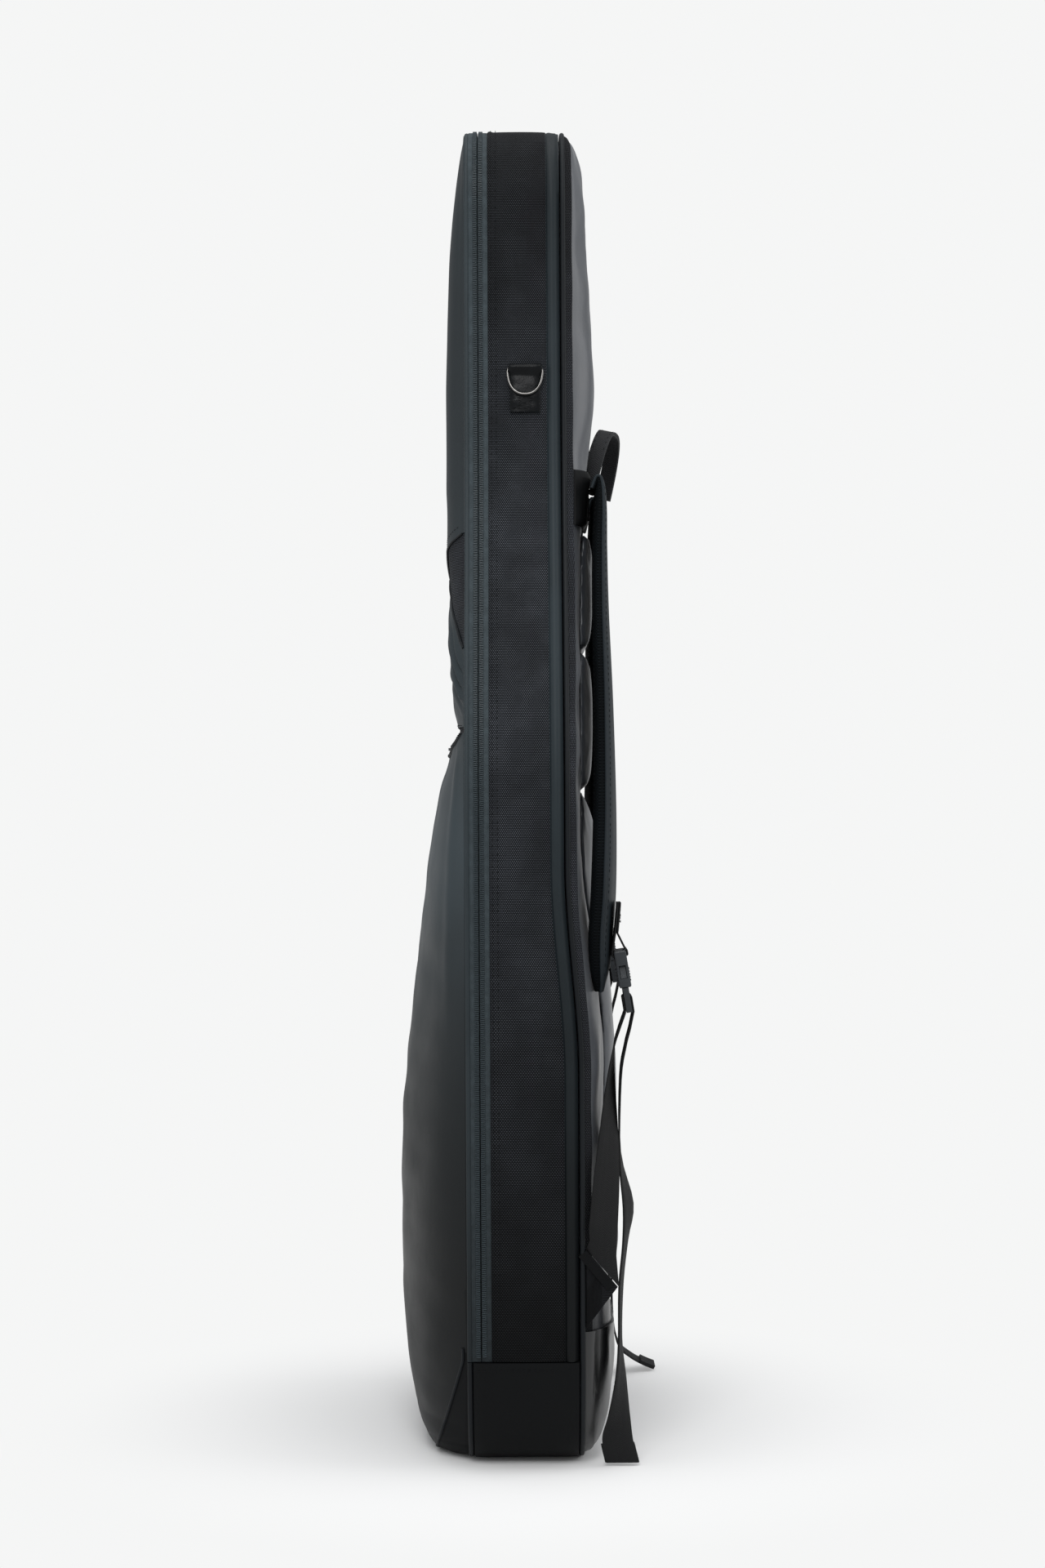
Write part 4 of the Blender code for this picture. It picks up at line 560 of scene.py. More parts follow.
def sweep(name, rings, finishes, closed=False, slots=None, across=None, sharp=60.0):
    """Solid through rings of points; across gives each ring point's place over the cloth."""
    rings = np.asarray(rings, dtype=float)
    count, sides = rings.shape[:2]
    middle = rings[count // 2]
    if across is None:
        across = travelled(np.vstack([middle, middle[:1]]))
    centres = rings.mean(axis=1)
    along = travelled(np.vstack([centres, centres[:1]]))
    here = np.arange(count if closed else count - 1)
    there = (here + 1) % count
    side = np.arange(sides)
    after = (side + 1) % sides
    quads = np.stack((here[:, None] * sides + side, here[:, None] * sides + after,
                      there[:, None] * sides + after, there[:, None] * sides + side), axis=2)
    u = np.broadcast_to(np.stack((across[side], across[side + 1], across[side + 1],
                                  across[side]), axis=1), quads.shape)
    v = np.broadcast_to(np.stack((along[here], along[here], along[here + 1],
                                  along[here + 1]), axis=1)[:, None, :], quads.shape)
    faces = quads.reshape(-1, 4).tolist()
    uv = np.stack((u, v), axis=3).reshape(-1, 2)
    picks = np.tile(np.zeros(sides, dtype=int) if slots is None else np.asarray(slots),
                    len(here))
    if not closed:
        faces += [list(range(sides)), list(range((count - 1) * sides, count * sides))]
        ends = [(across[k], along[end]) for end in (0, count - 1) for k in range(sides)]
        uv = np.vstack([uv, ends])
        picks = np.concatenate([picks, [0, 0]])
    return new_piece(name, rings, faces, finishes, uv, picks, sharp)


def tube(name, line, radius, finish="piping", closed=False, sides=8):
    """Round cord along a line."""
    line = np.asarray(line, dtype=float)
    if closed:
        tangent = unit(np.roll(line, -1, axis=0) - np.roll(line, 1, axis=0))
    else:
        tangent = unit(np.gradient(line, axis=0))
    lift = np.zeros_like(line)
    turn = np.array(Vector(tangent[0]).orthogonal())
    for index, way in enumerate(tangent):
        turn = turn - way * turn.dot(way)
        turn /= np.linalg.norm(turn)
        lift[index] = turn
    angles = (np.arange(sides) * 2 * math.pi / sides)[:, None]
    rings = line[:, None] + radius * (lift[:, None] * np.cos(angles)
                                      + np.cross(tangent, lift)[:, None] * np.sin(angles))
    return sweep(name, rings, [finish], closed)


def band_rings(path, columns):
    """Rings round the outline from columns of (place across the depth, distance outwards)."""
    y, out = (np.stack([column[part] + np.zeros(len(path)) for column in columns], axis=1)
              for part in (0, 1))
    x = path[:, 0, None] + path[:, 2, None] * out
    z = path[:, 1, None] + path[:, 3, None] * out
    return np.stack((x, y, np.maximum(z, 0.0)), axis=2)


def panel_grid(rows, across, face):
    """Grid of points of a sewn panel, whose ends lie just inside the outline."""
    x, z = (rows[:, :2] - rows[:, 2:] * PANEL_INSET).T
    y = face(rows[:, 1, None], across[None, :])
    return np.stack((x[:, None] * across, y, np.broadcast_to(z[:, None], y.shape)), axis=2)


def across_places(count):
    """Places from -1 to 1, closer together near the seams."""
    t = np.linspace(-1.0, 1.0, count)
    return 0.62 * t + 0.38 * np.sin(t * math.pi / 2)


def moved(grid, step):
    """Copy of a grid of points, moved across the bag's depth."""
    copy = grid.copy()
    copy[..., 1] += step
    return copy


def face_up(points, halves):
    """The way a strap faces, at each point of its centre line."""
    return unit(np.cross(halves, np.gradient(points, axis=0)))


def ribbon(name, points, halves, thickness, finish="webbing", lift=0.0):
    """Flat strap from its centre line and its half width vectors."""
    points = np.asarray(points, dtype=float)
    halves = np.broadcast_to(np.asarray(halves, dtype=float), points.shape)
    u, w = RIBBON_SHARES.T
    rings = (points[:, None] + halves[:, None] * u[None, :, None]
             + face_up(points, halves)[:, None] * (w * thickness / 2 + lift)[None, :, None])
    across = np.append(u, u[0]) * float(np.linalg.norm(halves[0]))
    return sweep(name, rings, [finish], across=across)


def box_ribbon(name, low, high, count):
    """Straight strap that fills a box, with its width upright."""
    _, y, z = (low + high) / 2
    points = joined(np.linspace(low.x, high.x, count), y, z)
    return ribbon(name, points, (0.0, 0.0, (high.z - low.z) / 2), high.y - low.y)


def stitch_piece(name, body, lines, slot="canvas"):
    """Rows of stitches; each line has points and the way they face."""
    size = sizes()
    points, faces = [], []
    for line, facing in lines:
        spots = resampled(line, (size.stitch + STITCH_GAP) / 2)
        face = np.asarray(facing, dtype=float)
        for start, end in zip(spots[:-2:2], spots[1:-1:2]):
            along = (end - start) * (size.stitch / (size.stitch + STITCH_GAP))
            side = np.cross(along, face)
            side *= STITCH_RADIUS / max(np.linalg.norm(side), 1e-9)
            up = face * STITCH_RADIUS / np.linalg.norm(face)
            base = len(points)
            points += [(start + end) / 2 + step
                       for step in (-along, side, up, -side, -up, along)]
            for first, second in ((1, 2), (2, 3), (3, 4), (4, 1)):
                faces.append((base, base + first, base + second))
                faces.append((base + 5, base + second, base + first))
    return dress(new_piece(name, points, faces, ["thread"]), body, slot)


def stitch_rows(line, facing, step, start=0, end=1):
    """Lines for stitches that follow a bent line, in short stretches."""
    return [(line[at:at + step + 1], facing[at]) for at in range(start, len(line) - end, step)]


def boxed_stitches(centre, half_u, half_v, facing,
                   pairs=((0, 1), (1, 2), (2, 3), (3, 0), (0, 2), (1, 3))):
    """Sewn box with a cross in it."""
    corners = [np.asarray(centre) + np.asarray(half_u) * a + np.asarray(half_v) * b
               for a, b in ((-1, -1), (1, -1), (1, 1), (-1, 1))]
    return [(np.array([corners[a], corners[b]]), facing) for a, b in pairs]


def solid_box(name, low, high):
    """Plain box between two corners."""
    bpy.ops.object.select_all(action="DESELECT")
    bpy.ops.mesh.primitive_cube_add(size=1.0, location=(low + high) / 2)
    box = bpy.context.object
    box.name = name
    box.scale = high - low
    bpy.ops.object.transform_apply(location=True, rotation=False, scale=True)
    return box


def bevel(piece, width, segments):
    edge = piece.modifiers.new("edge", "BEVEL")
    edge.width, edge.segments, edge.limit_method = width, segments, "ANGLE"
    bpy.ops.object.modifier_apply(modifier=edge.name)


def surface(piece, finish, angle):
    """Gives a finished hard piece its finish, smooth up to an angle in degrees."""
    piece.data.materials.append(material(finish))
    bpy.ops.object.shade_smooth_by_angle(angle=math.radians(angle))


def joint_place(name):
    return Vector(next(joint for joint in frame["joints"] if joint["name"] == name)["pos_m"])


# Materials

class Nodes:
    """A node tree while it is being built."""

    def __init__(self, owner):
        owner.use_nodes = True
        self.nodes, self.links = owner.node_tree.nodes, owner.node_tree.links

    def put(self, value, socket):
        if isinstance(value, bpy.types.NodeSocket):
            self.links.new(value, socket)
        else:
            socket.default_value = value

    def add(self, kind, *values, **settings):
        """Node with its settings, and with values or links for its first inputs."""
        node = self.nodes.new("ShaderNode" + kind)
        for name, value in settings.items():
            setattr(node, name, value)
        for value, socket in zip(values, node.inputs):
            self.put(value, socket)
        return node

    def fill(self, node, **values):
        """Puts values or links in a node's named inputs."""
        for name, value in values.items():
            self.put(value, node.inputs[name.replace("_", " ")])
        return node

    def math(self, operation, *values):
        return self.add("Math", *values, operation=operation).outputs[0]

    def between(self, value, low, high, to_low=0.0, to_high=1.0):
        return self.add("MapRange", value, low, high, to_low, to_high,
                        interpolation_type="SMOOTHSTEP").outputs[0]


class Finish(Nodes):
    """A material while it is being built."""

    def __init__(self, name, base, roughness, metallic=0.0, gloss=0.2):
        super().__init__(bpy.data.materials.new("bag " + name))
        self.set(Base_Color=shade(base), Roughness=roughness, Metallic=metallic,
                 Specular_IOR_Level=gloss)
        self.normal = None

    def set(self, **values):
        self.fill(self.nodes["Principled BSDF"], **values)

    def wave(self, value, rate):
        return self.math("SINE", self.math("MULTIPLY", value, rate))

    def mix(self, factor, first, second):
        node = self.add("Mix", factor, data_type="RGBA")
        self.put(first, node.inputs[6])
        self.put(second, node.inputs[7])
        return node.outputs[2]

    def place(self, cloth=False):
        """Coordinates in metres: over the cloth, or in the object."""
        if cloth:
            return self.add("UVMap", uv_map="Cloth").outputs[0]
        return self.add("TexCoord").outputs["Object"]

    def split(self, vector):
        return self.add("SeparateXYZ", vector).outputs

    def noise(self, vector, scale, detail=3.0, roughness=0.55):
        return self.fill(self.add("TexNoise"), Vector=vector, Scale=scale, Detail=detail,
                         Roughness=roughness).outputs["Fac"]

    def scaled(self, tint, factor):
        return self.fill(self.add("VectorMath", tint, operation="SCALE"),
                         Scale=factor).outputs[0]

    def bump(self, height, distance, strength=1.0):
        """Relief on top of the bumps that are there already."""
        node = self.fill(self.add("Bump"), Height=height, Distance=distance, Strength=strength)
        if self.normal is not None:
            self.put(self.normal, node.inputs["Normal"])
        self.normal = node.outputs["Normal"]
        self.set(Normal=self.normal)

    def painted_shading_by_height(self, tint, worn):
        """Darker where the cloth is new and clean, paler where it is worn and dusty."""
        most = max(share for _, share in worn)
        ramp = self.add("ValToRGB", self.split(self.place())[2])
        stops = ramp.color_ramp.elements
        while len(stops) < len(worn):
            stops.new(0.5)
        for stop, (height, share) in zip(stops, worn):
            stop.position = height
            stop.color = (*[share / most] * 3, 1.0)
        ramp.color_ramp.interpolation = "B_SPLINE"
        return self.scaled(tint, self.math("MULTIPLY", ramp.outputs[0], most))

    # worn takes a table of painted light and shade by height, not real wear
    def done(self, tint, roughness=None, worn=None):
        self.set(Base_Color=self.painted_shading_by_height(tint, worn) if worn else tint)
        if roughness is not None:
            self.set(Roughness=roughness)


# Painted light and shade: brightness of a cloth at some heights above the floor, in metres,
# darker low down and, on some cloths, under the crown where less light falls; the smooth cloth's
# table also paints a highlight band near 0.46 m
CANVAS_PAINTED_SHADING = ((0.05, 0.12), (0.13, 0.16), (0.25, 0.42), (0.42, 0.86), (0.55, 1.00),
               (0.70, 0.95), (0.84, 0.68), (0.96, 0.38), (1.00, 0.30))
SMOOTH_PAINTED_SHADING = ((0.05, 0.18), (0.16, 0.20), (0.30, 0.52), (0.40, 1.50), (0.46, 2.80),
               (0.51, 2.40), (0.57, 1.30), (0.80, 1.25), (1.00, 1.15))
STRIP_PAINTED_SHADING = ((0.05, 0.20), (0.13, 0.25), (0.25, 0.65), (0.42, 1.80), (0.55, 2.20),
              (0.84, 2.30), (0.96, 1.40), (1.00, 1.10))
BACK_PAINTED_SHADING = ((0.05, 0.30), (0.13, 0.36), (0.20, 0.75), (0.28, 1.00), (1.00, 1.00))
TAPE_PAINTED_SHADING = ((0.05, 0.40), (0.13, 0.52), (0.25, 0.80), (0.42, 1.00), (0.90, 1.15),
             (1.00, 0.95))


def shade(base, factor=1.0):
    """Colour made lighter or darker, with full cover."""
    return (*(min(channel * factor, 1.0) for channel in base[:3]), 1.0)


def woven(name, base, lit, pitch, rise, roughness, gloss=0.11):
    """Basket weave: rows of raised yarn crowns, each row set off by half a pitch."""
    finish = Finish(name, base, roughness, gloss=gloss)
    vector = finish.place(True)
    u, v, _ = finish.split(vector)
    row = finish.math("DIVIDE", v, pitch * 0.82)
    odd = finish.math("MULTIPLY", finish.math("MODULO", finish.math("FLOOR", row), 2.0), 0.5)
    column = finish.math("ADD", finish.math("DIVIDE", u, pitch), odd)
    crown = finish.math("MULTIPLY", *(
        finish.math("POWER", finish.math("ABSOLUTE", finish.wave(place, math.pi)), 0.8)
        for place in (column, row)))
    # Painted highlight on the raised yarn crowns, stronger in some patches than others, over
    # painted shade in the dips between them
    patchy_highlight = finish.between(finish.noise(vector, 38.0), 0.35, 0.75, 0.70, 1.25)
    light = finish.math("MULTIPLY", finish.between(crown, 0.55, 0.95), patchy_highlight)
    cloudy = finish.between(finish.noise(vector, 10.0, 4.0), 0.34, 0.62, 0.70, 1.12)
    tint = finish.scaled(finish.mix(light, shade(base, 0.6), shade(lit)), cloudy)
    finish.bump(finish.noise(vector, 260.0, 2.0), 0.0002, 0.4)
    finish.bump(crown, rise)
    finish.done(tint, finish.between(crown, 0.2, 1.0, roughness + 0.12, roughness - 0.10),
                CANVAS_PAINTED_SHADING)


def coated(name, base, roughness, gloss, grain=1500.0, crease=0.0008, sheen=0.0, worn=None):
    """Smooth coated cloth: fine grain, soft creases and slightly worn high places."""
    finish = Finish(name, base, roughness, gloss=gloss)
    finish.set(Sheen_Weight=sheen, Sheen_Roughness=0.45)
    vector = finish.place()
    fine = finish.noise(vector, grain, 2.0)
    cloudy = finish.noise(vector, 9.0, 5.0, 0.6)
    finish.bump(finish.noise(vector, 24.0, 4.0, 0.5), crease, 0.35)
    finish.bump(fine, 0.00012, 0.55)
    tint = finish.mix(finish.between(cloudy, 0.3, 0.7), shade(base, 0.86), shade(base, 1.16))
    tint = finish.mix(finish.between(fine, 0.62, 0.8), tint, shade(base, 1.5))
    finish.done(tint, finish.between(cloudy, 0.3, 0.7, roughness - 0.05, roughness + 0.07),
                worn)


def webbed(name, base):
    """Flat woven webbing: ribs in a shallow chevron between plain edges."""
    finish = Finish(name, base, 0.72)
    vector = finish.place(True)
    u, v, _ = finish.split(vector)
    reach = finish.math("ABSOLUTE", u)
    lean = finish.math("MULTIPLY", finish.math("PINGPONG", reach, 0.0041), 0.55)
    chevron = finish.wave(finish.math("ADD", v, lean), 2 * math.pi / 0.0017)
    ribs = finish.between(chevron, -1.0, 1.0)
    yarn = finish.wave(u, 2 * math.pi / 0.00095)
    height = finish.math("ADD", finish.math("MULTIPLY", ribs, 0.8),
                         finish.math("MULTIPLY", yarn, 0.16))
    plain = finish.math("MULTIPLY", finish.between(reach, 0.0104, 0.0112), 0.6)
    height = finish.math("MULTIPLY", height, finish.math("SUBTRACT", 1.0, plain))
    fuzz = finish.between(finish.noise(vector, 900.0, 2.0), 0.55, 0.85)
    tint = finish.mix(ribs, shade(base, 0.7), shade(base, 1.35))
    finish.bump(height, 0.00025, 0.7)
    finish.done(finish.mix(fuzz, tint, shade(base, 2.2)))


def zip_cloth(name, base):
    """Zip tape: fine lengthwise ribs."""
    finish = Finish(name, base, 0.68)
    vector = finish.place(True)
    u, v, _ = finish.split(vector)
    ribs, knots = finish.wave(u, 2 * math.pi / 0.0008), finish.wave(v, 2 * math.pi / 0.0011)
    finish.bump(finish.math("ADD", ribs, finish.math("MULTIPLY", knots, 0.5)), 0.00012, 0.8)
    cloudy = finish.between(finish.noise(vector, 120.0), 0.35, 0.7)
    finish.done(finish.mix(cloudy, shade(base, 0.85), shade(base, 1.12)), worn=TAPE_PAINTED_SHADING)


def grained(name, base, roughness, scale, rise, gloss=0.2):
    """Leather or moulded plastic with a pebbled grain."""
    finish = Finish(name, base, roughness, gloss=gloss)
    vector = finish.place()
    cells = finish.fill(finish.add("TexVoronoi", feature="F1"), Vector=vector, Scale=scale)
    pebble = finish.between(cells.outputs["Distance"], 0.0, 0.6, 1.0, 0.0)
    worn = finish.noise(vector, 90.0, 2.0, 0.4)
    finish.bump(finish.noise(vector, 160.0, 2.0), 0.0006, 0.3)
    finish.bump(pebble, rise, 0.6)
    finish.done(finish.mix(finish.between(worn, 0.35, 0.8), shade(base, 0.9), shade(base, 1.25)),
                finish.between(worn, 0.3, 0.8, roughness + 0.03, roughness - 0.03))


def soft_lining(name, base):
    """Brushed lining with a short soft pile."""
    finish = Finish(name, base, 0.95)
    finish.set(Sheen_Weight=0.35, Sheen_Roughness=0.5)
    vector = finish.place()
    pile = finish.noise(vector, 1300.0, 3.0, 0.7)
    finish.bump(pile, 0.0005, 0.8)
    tint = finish.mix(finish.between(pile, 0.3, 0.7), shade(base, 0.7), shade(base, 1.25))
    streak = finish.between(finish.noise(vector, 30.0, 4.0), 0.45, 0.7)
    finish.done(finish.mix(finish.math("MULTIPLY", streak, 0.4), tint, shade(base, 1.5)))


def polished(name, base, roughness):
    finish = Finish(name, base, roughness, 1.0)
    vector = finish.place()
    marks = finish.noise(vector, 260.0, 5.0, 0.7)
    finish.bump(finish.noise(vector, 700.0, 2.0), 0.00004, 0.3)
    finish.done(finish.mix(finish.between(marks, 0.4, 0.75), shade(base), shade(base, 0.82)),
                finish.between(marks, 0.4, 0.75, roughness, roughness + 0.12))


def speckled(finish, base, scale, detail, strength, dark, light):
    """Fine relief that also makes the colour darker and lighter."""
    grain = finish.noise(finish.place(), scale, detail)
    finish.bump(grain, 0.0001, strength)
    finish.done(finish.mix(grain, shade(base, dark), shade(base, light)))


def make_materials():
    tints = colours()
    woven("canvas", tints.canvas, tints.yarn_highlight, sizes().weave_pitch, 0.0004, 0.74)
    # Painted highlight: the strap weave's yarn crowns take the strap cloth colour made 2.6 times
    # lighter
    woven("strap weave", tints.strap, shade(tints.strap, 2.6), 0.0015, 0.0003, 0.78, 0.07)
    # The brightness tables given to the smooth, strip, back and front piping cloths are painted
    # light and shade by height
    coated("smooth", tints.smooth, 0.47, 0.17, crease=0.0012, worn=SMOOTH_PAINTED_SHADING)
    coated("strip", shade(tints.smooth, 0.70), 0.52, 0.14, crease=0.0004, worn=STRIP_PAINTED_SHADING)
    coated("boot", tints.boot, 0.60, 0.08, grain=1100.0, crease=0.0006)
    coated("foot", tints.boot, 0.34, 0.60, grain=1100.0, crease=0.0020)
    coated("back", tints.back, 0.38, 0.50, crease=0.0018, sheen=0.08, worn=BACK_PAINTED_SHADING)
    coated("binding", tints.binding, 0.55, 0.12, crease=0.0005)
    coated("piping", tints.cord, 0.50, 0.14, crease=0.0002)
    coated("front piping", shade(tints.tape, 0.62), 0.52, 0.14, crease=0.0002, worn=TAPE_PAINTED_SHADING)
    zip_cloth("tape", tints.tape)
    speckled(Finish("teeth", shade(tints.tape, 0.9), 0.42), tints.tape, 500.0, 2.0, 0.4, 0.7,
             1.3)
    webbed("webbing", tints.webbing)
    # Painted sheen: the handle's webbing is the strap webbing colour made 3.4 times lighter, for
    # the sheen on the handle
    webbed("handle webbing", shade(tints.webbing, 3.4))
    grained("leather", tints.leather, 0.38, 620.0, 0.00012, gloss=0.12)
    soft_lining("lining", tints.lining)
    speckled(Finish("thread", tints.thread, 0.7, gloss=0.08), tints.thread, 2600.0, 1.0, 0.7,
             0.7, 1.8)
    polished("chrome", tints.chrome, 0.11)
    polished("metal", tints.metal, 0.34)
    grained("plastic", tints.plastic, 0.38, 2200.0, 0.00008)


# Shell

def build_gusset():
    """Canvas round the side, with its rounded strip along the back seam and its lining."""
    size = sizes()
    path = Rim().arch(size.fold_height + EDGE_GAP)
    along, crown = travelled(path[:, :2]), crown_share(path)
    front = size.zip_line + 0.0076
    strip, groove, rear = (back_seam(path[:, 1]) - step for step in (0.0125, 0.0046, 0.0028))
    columns = [(front, -0.0024), (front, -0.0011), (front + 0.0007, -0.0002),
               (front + 0.0022, 0.0001)]
    for share in np.linspace(0.10, 0.93, 10):
        y = front + (strip - front) * share
        puff = 0.0007 * (1 - (2 * share - 1) ** 2)
        waves = (0.0005 + 0.0007 * crown) * ripple(along, y, 0.070, 11) * min(share * 5, 1)
        columns.append((y, puff + waves - 0.0010 * crown))
    for place, out, drawn in (
            (strip - 0.0008, 0.0000, 0.0010), (strip, -0.0010, 0.0008),
            (strip + 0.0009, -0.0001, 0.0012), (strip + 0.0025, 0.0009, 0.0020),
            (strip + 0.0040, 0.0012, 0.0026), (strip + 0.0056, 0.0008, 0.0024),
            (groove - 0.0006, -0.0003, 0.0014), (groove, -0.0014, 0.0008),
            (rear, -0.0021, 0.0004), (rear, -0.0076, 0.0)):
        columns.append((place, out - drawn * crown))
    for share in (0.8, 0.6, 0.4, 0.2):
        y = front + (rear - front) * share
        columns.append((y, -0.0080 - 0.0006 * ripple(along, y, 0.05, 12)))
    columns.append((front, -0.0076))
    slots = [0] * 14 + [1] * 8 + [2] * (len(columns) - 22)
    gusset = sweep("gusset", band_rings(path, columns), ["canvas", "strip", "lining"],
                   slots=slots, sharp=70.0)
    dress(gusset, "bag", "canvas", "side_gusset_near", "side_gusset_far")

    # Double row of stitches beside the zip
    facing = joined(path[:, 2], 0.0, path[:, 3])
    lines = []
    for step in (0.0026, 0.0064):
        edge = band_rings(path, [(front + step, 0.0004)])[:, 0]
        lines += stitch_rows(edge, facing, 6)
    stitch_piece("gusset_stitches", "bag", lines)


def zip_teeth(name, path, low, high, slant):
    """Row of small moulded teeth along the outline."""
    way_along = np.stack((-path[:, 3], path[:, 2]), axis=1)
    sag = -0.0004 * crown_share(path)
    corners = []
    for wide, inset, out in ((1.0, 0.0, -0.0016), (0.6, 0.0004, 0.0003)):
        for way, y in ((-wide, low + inset), (wide, low + inset), (wide, high - inset),
                       (-wide, high - inset)):
            reach = way * sizes().zip_pitch * 0.31 + slant * (y - low)
            x, z = (path[:, :2] + path[:, 2:] * (out + sag)[:, None] + way_along * reach).T
            corners.append(joined(x, y, z))
    quads = np.array(((0, 3, 2, 1), (4, 5, 6, 7), (0, 1, 5, 4), (1, 2, 6, 5), (2, 3, 7, 6),
                      (3, 0, 4, 7)))
    faces = (quads + 8 * np.arange(len(path))[:, None, None]).reshape(-1, 4).tolist()
    return new_piece(name, np.stack(corners, axis=1), faces, ["teeth"], sharp=20.0)


def build_main_zip():
    """Both halves of the main zip, on the bag and on the lid, and the flap behind its teeth."""
    size = sizes()
    rim = Rim()
    low = size.fold_height + EDGE_GAP
    path, bites = rim.arch(low), rim.arch(low + 0.004, size.zip_pitch)
    crown = crown_share(path)
    foot, sag = -0.0036 - 0.0012 * crown, -0.0004 * crown
    for name, start, end, body, node in (
            ("zip_tape_bag", size.zip_line + 0.0003, size.zip_line + 0.0081, "bag",
             "zip_tape_body"),
            ("zip_tape_lid_cloth", size.front_seam + 0.0012, size.zip_line - 0.0003, None,
             "zip_tape_lid")):
        middle = (start + end) / 2
        columns = [(start, foot), (start, sag - 0.0011), (start + 0.0004, sag - 0.0008),
                   (middle, sag - 0.0007), (end - 0.0004, sag - 0.0008), (end, sag - 0.0011),
                   (end, foot), (middle, foot - 0.0002)]
        dress(sweep(name, band_rings(path, columns), ["tape"]), body, "zip_tape", node)

    # Plain flap behind the teeth, sewn in along the bag's half of the zip
    inside = -0.0054 - 0.0012 * crown
    start, end = size.zip_line - 0.0046, size.zip_line + 0.0090
    columns = [(start, inside), (start, inside + 0.0007), (end, inside + 0.0007), (end, inside)]
    dress(sweep("zip_flap", band_rings(path, columns), ["boot"]), "bag", "boot_cloth")

    for name, start, end, slant, body in (("zip_teeth_bag", 0.0004, 0.0041, 0.12, "bag"),
                                          ("zip_teeth_lid", -0.0041, -0.0004, -0.12, None)):
        teeth = zip_teeth(name, bites, size.zip_line + start, size.zip_line + end, slant)
        dress(teeth, body, "zip_tape")


def build_boot():
    """Plain cloth round the bottom, hemmed and stitched at its top edge."""
    size = sizes()
    rim = Rim()
    path = rim.cup(size.fold_height - EDGE_GAP)
    along = travelled(path[:, :2])
    from_end = np.minimum(along, along[-1] - along)
    hem = 0.0007 + 0.0006 * (1 - smoothstep((from_end - 0.007) / 0.003))
    front, rear = size.front_seam + 0.0022, back_seam(path[:, 1]) - 0.0023
    columns = [(front, -0.0024), (front, -0.0008), (front + 0.0010, hem * 0.6)]
    for share in (0.12, 0.3, 0.5, 0.7, 0.88):
        y = front + (rear - front) * share
        columns.append((y, hem + 0.0004 * ripple(along, y, 0.06, 21)))
    columns += [(rear - 0.0010, hem * 0.6), (rear, -0.0010), (rear, -0.0086),
                ((front + rear) / 2, -0.0088), (front, -0.0086)]
    slots = [0] * 9 + [1] * (len(columns) - 9)
    boot = sweep("boot", band_rings(path, columns), ["boot", "lining"], slots=slots)
    dress(boot, "bag", "boot_cloth", "bottom_boot")
    x, z, out_x, _ = rim.side(size.fold_height - 0.0062, size.fold_height - 0.0050)[0]
    y = np.linspace(front + 0.003, float(back_seam(z)) - 0.0050, 30)
    lines = [(joined(side * (x + out_x * 0.0015), y, z), (side, 0, 0)) for side in (1, -1)]
    stitch_piece("boot_stitches", "bag", lines, "boot_cloth")


def cord_line(path, place):
    """Centre line of the piping in a seam; where it passes under the bag it lies on the floor."""
    line = band_rings(path, [(place, -0.0020 - 0.0013 * crown_share(path))])[:, 0]
    line[:, 2] = np.maximum(line[:, 2], CORD_RADIUS)
    return line


def build_piping():
    """Piping along the back and front seams."""
    size = sizes()
    rim = Rim()
    path = rim.loop()
    cord = tube("back_seam_piping", cord_line(path, back_seam(path[:, 1])), CORD_RADIUS,
                closed=True, sides=10)
    dress(cord, "bag", "piping", "back_piping")
    for name, path, finish, node in (
            ("front_seam_piping", rim.arch(size.fold_height + FOLD_GAP), "front piping",
             "front_piping"),
            ("toe_seam_piping", rim.cup(size.fold_height - FOLD_GAP), "piping", "toe_piping")):
        cord = tube(name, cord_line(path, size.front_seam), CORD_RADIUS, finish, sides=10)
        dress(cord, None, "piping", node)


# Back

def puffed(piece, seat_y, cap):
    """Blows up a cushion with cloth simulation, keeping the face that is sewn on."""
    scene = bpy.context.scene
    bpy.ops.object.select_all(action="DESELECT")
    piece.select_set(True)
    bpy.context.view_layer.objects.active = piece
    piece.data.remesh_voxel_size = 0.0045
    bpy.ops.object.voxel_remesh()
    mesh = piece.data
    start = np.array([vertex.co for vertex in mesh.vertices])
    held = [index for index, (x, y, z) in enumerate(start) if seat_y(z, x) + 0.0022 > y]
    piece.vertex_groups.new(name="sewn").add(held, 1.0, "REPLACE")
    cloth = piece.modifiers.new("cloth", "CLOTH")
    cloth.settings.use_pressure = True
    cloth.settings.uniform_pressure_force = 4.0
    cloth.settings.effector_weights.gravity = 0.0
    cloth.settings.vertex_group_mass = "sewn"
    cloth.settings.tension_stiffness = 12.0
    cloth.settings.bending_stiffness = 0.3
    for moment in range(1, 21):
        scene.frame_set(moment)
    blown = piece.evaluated_get(bpy.context.evaluated_depsgraph_get())
    step = np.array([vertex.co for vertex in blown.to_mesh().vertices]) - start
    blown.to_mesh_clear()
    piece.modifiers.remove(cloth)
    scene.frame_set(1)
    far = np.linalg.norm(step, axis=1)[:, None]
    step *= np.minimum(1.0, cap / np.maximum(far, 1e-9))
    mesh.vertices.foreach_set("co", (start + step).ravel())
    mesh.update()
    smooth = piece.modifiers.new("smooth", "SUBSURF")
    smooth.levels = smooth.render_levels = 1
    bpy.ops.object.modifier_apply(modifier=smooth.name)
    piece.data.shade_smooth()


